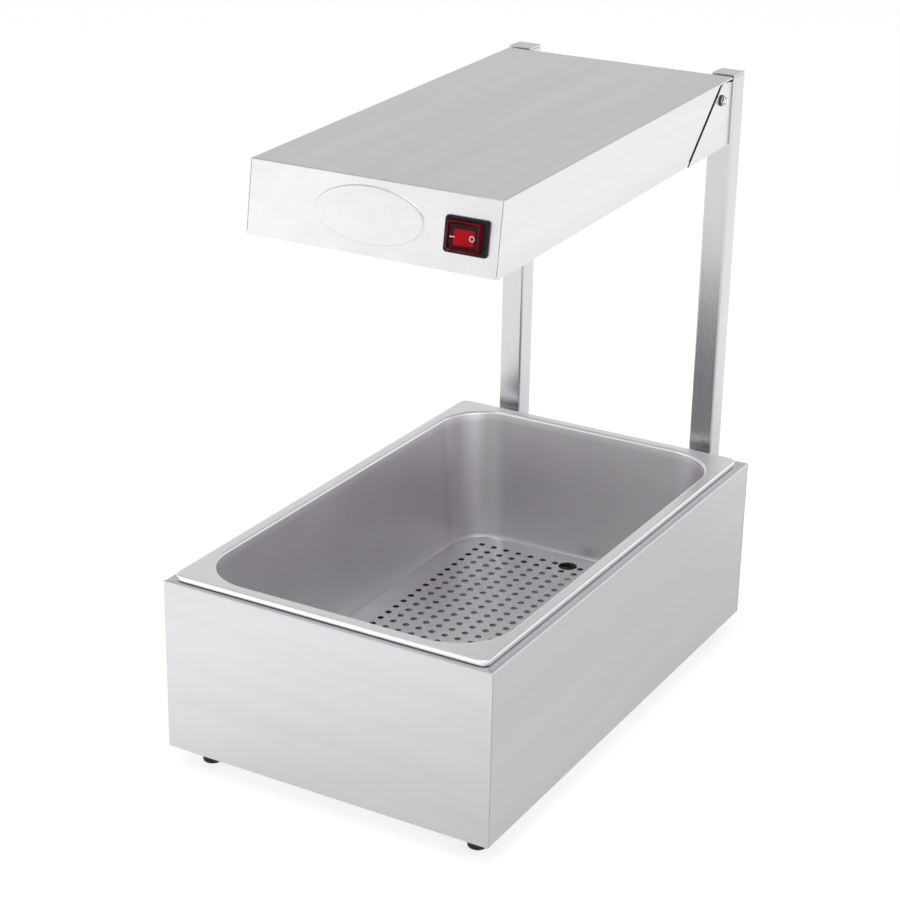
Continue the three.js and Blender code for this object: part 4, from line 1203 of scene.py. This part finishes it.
@dataclass
class Heating:
    """Quartz lamps in ceramic holders, a wire guard, terminals, wires and the cable gland."""

    hood: Hood
    tube_round: float = 3.0
    filament_wire: float = 0.35
    filament_coil: float = 2.2
    filament_turns: int = 70
    guard_rod: float = 1.5
    guard_share: float = 0.34
    guard_pitch: float = 27.0
    gland_bore: float = 4.5
    gland_stem: tuple[Point2, ...] = ((4.5, 0.0), (7.4, 0.0), (8.0, 0.6))
    gland_neck: Point2 = (9.4, 1.0)
    gland_nose: float = 18.0
    gland_cap_height: float = 12.0
    gland_cap_overlap: float = 0.5
    gland_hexagon: Triple = (12.0, 5.0, 0.8)
    gland_flutes: int = 16
    gland_cap: tuple[Triple, ...] = (
        (4.5, 0.0, 0.0), (9.6, 0.0, 0.35), (9.9, 0.6, 0.45), (9.9, 6.0, 0.45),
        (9.2, 8.5, 0.3), (7.4, 11.5, 0.1), (6.2, 12.5, 0.0), (4.5, 12.5, 0.0),
    )

    def build(self) -> None:
        """Build everything that the hood holds."""
        for side, _ in SIDES:
            self.lamp(side)
            for end in ("front", "rear"):
                dress_skin(f"lamp_holder_{end}_{side}", "hood", CERAMIC, 0.8)
        self.guard()
        dress_skin("terminal_block", "hood", CERAMIC, 0.4)
        for node in ("live_wire", "switched_wire"):
            dress_skin(node, "hood", SLEEVE, angle=70)
        self.gland()

    def lamp(self, side: str) -> None:
        """Build one quartz tube with its coiled filament.

        Args:
            side: The lamp's side.
        """
        place = self.hood.frame()
        low, high, middle = boxed(f"heat_lamp_{side}", place)
        radius, half = (high.z - low.z) / 2, (high.y - low.y) / 2
        r = self.tube_round
        upper = [(radius, half - r), (radius - r * 0.3, half - r * 0.3), (radius - r, half), (0.0, half)]
        profile = [(reach, -height) for reach, height in reversed(upper)] + upper
        lying = place @ Matrix.Translation(middle) @ Matrix.Rotation(math.radians(-90), 4, "X")
        tube = Draft().lathe(profile, 32).finished(f"quartz_tube_{side}", lying)
        dress(tube, "hood", QUARTZ, [f"heat_lamp_{side}"])
        self.filament(side, lying, 2 * half - 4 * r)

    def filament(self, side: str, lying: Matrix, length: float) -> None:
        """Build the coil inside one tube.

        Args:
            side: The lamp's side.
            lying: The tube's frame, with Z along it.
            length: The coil's length.
        """
        tree = NodeBuilder("coiled_filament")
        radius = self.filament_coil * MM
        coil = tree.add("CurveSpiral", {
            "Resolution": 12, "Rotations": float(self.filament_turns),
            "Start Radius": radius, "End Radius": radius, "Height": length * MM,
        })
        section = tree.add("CurvePrimitiveCircle", {"Resolution": 6, "Radius": self.filament_wire * MM})
        wire = tree.add("CurveToMesh", {"Curve": coil, "Profile Curve": section, "Fill Caps": True})
        piece = tree.run(f"filament_{side}", wire, FILAMENT, lying @ shift(z=-length / 2))
        dress(piece, "hood", FILAMENT, angle=70)

    def guard(self) -> None:
        """Build the wire guard from two sets of rods."""
        place = self.hood.frame()
        low, high, middle = boxed("lamp_guard", place)
        across, along = high.x - low.x, high.y - low.y
        diameter, right_angle = 2 * self.guard_rod, math.pi / 2
        count = max(1, round(along / self.guard_pitch)) + 1
        half, span = (across - diameter) / 2 * MM, (along - diameter) * MM
        tree = NodeBuilder("rod_guard")
        rod = {"Vertices": 12, "Radius": diameter / 2 * MM}
        cross, long = (
            tree.add("MeshCylinder", {**rod, "Depth": depth * MM}, "Mesh")
            for depth in (across, along)
        )
        inputs = {"Count": count, "Start Location": Y * (-span / 2), "Offset": Y * (span / (count - 1))}
        line = tree.add("MeshLine", inputs)
        inputs = {"Points": line, "Instance": cross, "Rotation": (0.0, right_angle, 0.0)}
        sets = [tree.add("InstanceOnPoints", inputs)]
        for x in (-half, -half * self.guard_share, half * self.guard_share, half):
            inputs = {"Geometry": long, "Translation": (x, 0.0, 0.0), "Rotation": (right_angle, 0.0, 0.0)}
            sets.append(tree.add("Transform", inputs))
        shape = tree.add("JoinGeometry", {"Geometry": sets})
        piece = tree.run("guard_rods", shape, BRIGHT, place @ Matrix.Translation(middle))
        dress(piece, "hood", BRIGHT, ["lamp_guard"])

    def gland(self) -> None:
        """Build the cable gland with its fluted cap, and dress its nut."""
        place = self.hood.frame()
        low, high, middle = boxed("cable_gland", place)
        whole = high.y - low.y
        lying = place @ shift(middle.x, low.y, middle.z) @ Matrix.Rotation(math.radians(-90), 4, "X")
        start, shoulder = whole - self.gland_nose, whole - self.gland_cap_height
        neck, lip = self.gland_neck
        profile = [*self.gland_stem, (self.gland_stem[-1][0], start + lip), (neck, start + lip)]
        body = Draft().lathe(profile + [(neck, shoulder), (self.gland_bore, shoulder)], 48)
        body.join(FIXINGS.block(*self.gland_hexagon).moved(shift(z=start)))
        foot = shoulder - self.gland_cap_overlap
        cap = [self.fluted(radius, foot + z, depth) for radius, z, depth in self.gland_cap]
        body.skin(cap, capped=False, looped=True)
        piece = body.finished("gland_body", lying)
        dress(piece, "hood", NYLON, ["cable_gland"], angle=35)
        dress_skin("cable_gland_nut", "hood", NYLON, 0.4)

    def fluted(self, radius: float, height: float, depth: float) -> list[Vector]:
        """A ring with shallow grip flutes, from its radius, its height and their depth."""
        flutes = self.gland_flutes
        return level(polar(lambda t: radius - depth * max(0.0, math.cos(flutes * t)), 6 * flutes), height)


# Switch

@dataclass
class Switch:
    """Rocker switch under a clear boot, in the hood's front; each size is a width and a height."""

    hood: Hood
    face_size: Point2 = (41.0, 31.2)
    proud: float = 4.0
    flange: float = 1.8
    corner: float = 2.8
    chamfer: float = 1.3
    back_size: Point2 = (30.0, 22.6)
    back_depth: float = 17.0
    boot_size: Point2 = (32.0, 25.2)
    boot_corner: float = 4.0
    boot_foot: float = 2.6
    boot_rise: float = 10.0
    boot_shoulder: float = 2.4
    boot_sheet: float = 0.7
    boot_flange: Triple = (0.8, 0.05, 0.45)
    crown_start: int = 4
    well_size: Point2 = (27.7, 20.2)
    well_depth: float = 9.0
    rocker_size: Point2 = (25.5, 19.4)
    rocker_end: float = 6.6
    rocker_middle: float = 5.0
    rocker_root: float = 5.0
    rocker_tilt: float = 10.0
    pin_radius: float = 1.2
    pin_reach: float = 0.8
    lens_size: Point2 = (17.8, 13.2)
    lens_round: float = 0.8
    lens_base: float = 0.12
    lens_rise: float = 0.3
    lens_root: float = 0.3
    face_drop: float = 0.9
    lens_middle: float = -0.8
    mark_stroke: float = 0.95
    mark_low: float = 0.1
    mark_high: float = 0.52
    bar_length: float = 4.2
    bar_place: float = -10.7
    ring_radius: float = 2.55
    ring_place: float = 6.3

    def build(self) -> None:
        """Build the bezel, the boot, the rocker and its marks."""
        self.place = joint_place("switch_rocker") @ self.hood.front().to_3x3().to_4x4()
        self.rocker_frame = self.place @ Matrix.Rotation(math.radians(self.rocker_tilt), 4, "Y")
        self.face_frame = self.rocker_frame @ shift(y=-self.face_drop)
        self.bezel()
        self.boot()
        self.rocker()
        self.lens()
        self.marks()

    def bezel(self) -> None:
        """Build the housing: a bevelled frame round the boot, with the rocker's well and the body behind."""
        face, back, boot, well = self.face_size, self.back_size, self.boot_size, self.well_size
        c, r, corner, proud = self.chamfer, self.boot_corner, self.corner, self.proud
        sections = [
            (well, 0.0, 0.4, -self.well_depth),
            (well, 0.0, 0.4, self.boot_foot),
            (boot, CLEARANCE, r, self.boot_foot),
            (boot, CLEARANCE, r, proud - 0.35),
            (boot, CLEARANCE + 0.35, r, proud),
            (face, -c, corner - 0.6, proud),
            (face, 0.5 - c, corner - 0.4, proud - 0.3),
            (face, -0.15, corner, self.flange + 0.3),
            (face, 0.0, corner, self.flange - 0.2),
            (face, 0.0, corner, CLEARANCE),
            (back, 0.0, 1.0, CLEARANCE),
            (back, 0.0, 1.0, 1.0 - self.back_depth),
            (back, -1.0, 0.6, -self.back_depth),
        ]
        rings = [level(rectangle(size, grow, radius, 6), z) for size, grow, radius, z in sections]
        piece = Draft().skin(rings).finished("switch_frame", self.place)
        dress(piece, "hood", NYLON, ["switch_housing"], angle=28)

    def boot(self) -> None:
        """Build the clear boot: its crown, its darker wall and its foot, a ring round the rocker's well."""
        outer, inner = self.boot_rings(0.0), self.boot_rings(self.boot_sheet)
        split = self.crown_start
        inset, low, high = self.boot_flange
        edge = rectangle(self.boot_size, -inset, self.boot_corner - inset)
        well = rectangle(self.well_size, 0.2, 0.6)
        low, high = self.boot_foot + low, self.boot_foot + high
        crown = Draft().skin(outer[:split - 1:-1] + inner[split:])
        wall = Draft().skin(outer[split::-1] + inner[:split + 1], looped=True)
        walls = [level(edge, low), level(edge, high), level(well, high), level(well, low)]
        foot = Draft().skin(walls, looped=True)
        for name, draft, finish, stands_for, angle in (
            ("boot_crown", crown, BOOT_SKIN, ["splash_boot"], 50),
            ("boot_wall", wall, BOOT_WALL, (), 50),
            ("boot_foot", foot, BOOT_FOOT, (), 38),
        ):
            dress(draft.finished(name, self.place), "hood", finish, stands_for, angle)

    def boot_rings(self, inset: float) -> list[list[Vector]]:
        """Rings of one skin of the boot, from its foot to its crown.

        Args:
            inset: Distance in from the boot's outside.

        Returns:
            The rings.
        """
        corner, shoulder = self.boot_corner - inset, self.boot_shoulder
        start = self.boot_rise - inset - shoulder
        sections = [(0.0, self.boot_foot + CLEARANCE)]
        sections += [(shoulder * (1 - c), start + shoulder * s) for s, c in quarter(5)]
        return [level(rectangle(self.boot_size, -inset - inwards, corner), z) for inwards, z in sections]

    def surface(self, x: float) -> float:
        """Height of the rocker's face above its pins, at a place along it."""
        share = 2 * abs(x) / self.rocker_size[0]
        return self.rocker_middle + (self.rocker_end - self.rocker_middle) * share

    def on_face(self, outline: Sequence[Point2], lift: float) -> list[Vector]:
        """Lay a flat outline on the rocker's face, lifted a little."""
        return [Vector((u, v, self.surface(u) + lift)) for u, v in outline]

    def rocker(self) -> None:
        """Build the black rocker with its pins."""
        half_w, half_h = (extent / 2 for extent in self.rocker_size)
        root, steps = self.rocker_root, 12
        section = [(-half_w, 0.0), (-half_w / 2, -root), (half_w / 2, -root), (half_w, 0.0)]
        face = [half_w - 2 * half_w * k / steps for k in range(steps + 1)]
        section += [(x, self.surface(x)) for x in face]
        body = Draft().skin([level(section, -half_h), level(section, half_h)])
        body.moved(Matrix.Rotation(math.radians(90), 4, "X"))
        reach = half_h + self.pin_reach
        body.rod(Y * -reach, Y * reach, self.pin_radius)
        piece = body.finished("rocker_body", self.rocker_frame)
        dress(piece, "switch_paddle", NYLON, ["rocker"], bevel=0.35)

    def lens(self) -> None:
        """Build the red lens that covers the rocker's middle."""
        half_w, half_h = (extent / 2 for extent in self.lens_size)
        steps, rows = 24, 10
        rings = []
        for k in range(steps + 1):
            x = self.lens_middle - half_w + 2 * half_w * k / steps
            line = [half_h - 2 * half_h * j / rows for j in range(rows + 1)]
            top = [Vector((x, y, self.surface(x) + self.lens_height_at(x, y))) for y in line]
            rings.append(top + self.on_face([(x, -half_h), (x, half_h)], -self.lens_root))
        piece = Draft().skin(rings).finished("rocker_lens", self.face_frame)
        dress(piece, "switch_paddle", RED_LENS, angle=40)

    def lens_height_at(self, x: float, y: float) -> float:
        """Height of the lens above the rocker's face: flat, with rounded edges.

        Args:
            x: Place along the rocker.
            y: Place across it.

        Returns:
            The height.
        """
        height = self.lens_rise
        for extent, off in zip(self.lens_size, (x - self.lens_middle, y)):
            share = min(extent / 2 - abs(off), self.lens_round) / self.lens_round
            height *= math.sqrt(max(0.0, 1 - (1 - share) ** 2))
        return self.lens_base + height

    def marks(self) -> None:
        """Build the white I and O."""
        stroke, radius = self.mark_stroke, self.ring_radius
        bar, outer, inner = (
            [(u + place, v) for u, v in outline] for place, outline in (
                (self.bar_place, rectangle((self.bar_length, stroke), 0.0, 0.3, 3)),
                (self.ring_place, ellipse(radius, radius, 40)),
                (self.ring_place, ellipse(radius - stroke, radius - stroke, 40)),
            )
        )
        low, high = self.mark_low, self.mark_high
        mark_on = Draft().skin([self.on_face(bar, low), self.on_face(bar, high)])
        walls = ((outer, low), (outer, high), (inner, high), (inner, low))
        mark_off = Draft().skin([self.on_face(outline, lift) for outline, lift in walls], looped=True)
        for name, draft in (("mark_on", mark_on), ("mark_off", mark_off)):
            dress(draft.finished(name, self.face_frame), "switch_paddle", MARK_WHITE)


# Studio

@dataclass
class Studio:
    """Camera, floor, world and soft lamps."""

    lens: float = 87.2754
    sensor: float = 36.0
    reach: float = 100.0
    camera_place: Triple = (0.934025, -1.710707, 1.044911)
    azimuth: float = 29.6258
    elevation: float = 22.0246
    roll: float = 1.0373
    floor_size: float = 30.0
    sky: tuple[Point2, ...] = ((0.05, 1.0), (0.35, 0.74), (0.9, 0.5))
    aim: Triple = (0.0, 0.0, 0.3)
    lamps: tuple[tuple[str, Triple, Point2, float], ...] = (
        ("front_softbox", (-2.33, -2.33, 1.0), (2.2, 2.1), 8.2),
        ("rear_softbox", (1.6, 2.6, 1.1), (2.2, 1.6), 4.0),
        ("top_softbox", (0.2, -0.9, 2.6), (1.8, 1.8), 20.0),
        ("side_softbox", (2.2, -1.25, 0.75), (1.9, 1.3), 8.5),
    )

    def build(self) -> None:
        """Set up everything that isn't the object."""
        self.camera()
        half = self.floor_size / (2 * MM)
        floor = Draft()
        floor.points = level([(-half, -half), (half, -half), (half, half), (-half, half)], 0.0)
        floor.faces = [(0, 1, 2, 3)]
        piece = floor.finished("floor")
        piece.data.materials.append(FLOOR.material())
        self.world()
        self.light()
        bpy.context.scene.view_settings.view_transform = "Standard"

    def camera(self) -> None:
        """Place the camera as the photograph was taken."""
        az, el, roll = (math.radians(a) for a in (self.azimuth, self.elevation, self.roll))
        back = Vector((math.sin(az) * math.cos(el), -math.cos(az) * math.cos(el), math.sin(el)))
        data = bpy.data.cameras.new("camera")
        data.lens, data.sensor_width, data.clip_end = self.lens, self.sensor, self.reach
        camera = added("camera", data)
        camera.matrix_world = facing(Vector(self.camera_place), back, Z) @ Matrix.Rotation(roll, 4, "Z")
        bpy.context.scene.camera = camera

    def world(self) -> None:
        """Make a studio that is white up to eye level and dimmer overhead."""
        world = bpy.data.worlds.new("studio")
        bpy.context.scene.world = world
        tree = ShaderTree(world, "Background")
        direction = tree.add("ShaderNodeTexCoord", {}, {}, "Generated")
        height = tree.add("ShaderNodeSeparateXYZ", {}, {"Vector": direction}, "Z")
        stops = [(at, (shade, shade, shade)) for at, shade in self.sky]
        tree.put(tree.shader.inputs["Color"], tree.ramp(height, stops))

    def light(self) -> None:
        """Hang the soft lamps, each facing the object: places and sizes in metres, power in watts."""
        for name, place, size, power in self.lamps:
            data = bpy.data.lights.new(name, "AREA")
            data.shape, data.energy = "RECTANGLE", power
            data.size, data.size_y = size
            lamp = added(name, data)
            lamp.location = Vector(place)
            lamp.rotation_euler = (Vector(self.aim) - Vector(place)).to_track_quat("-Z", "Y").to_euler()


def main() -> None:
    """Build every sub-assembly in order."""
    logging.basicConfig(level=logging.INFO, format="%(message)s")
    hood = Hood()
    fixed = (Studio(), Cabinet(), Pan(), DrainerPlate(), Posts(), Bracket())
    for part in (*fixed, hood, Heating(hood), Switch(hood)):
        part.build()


if __name__ == "__main__":
    main()
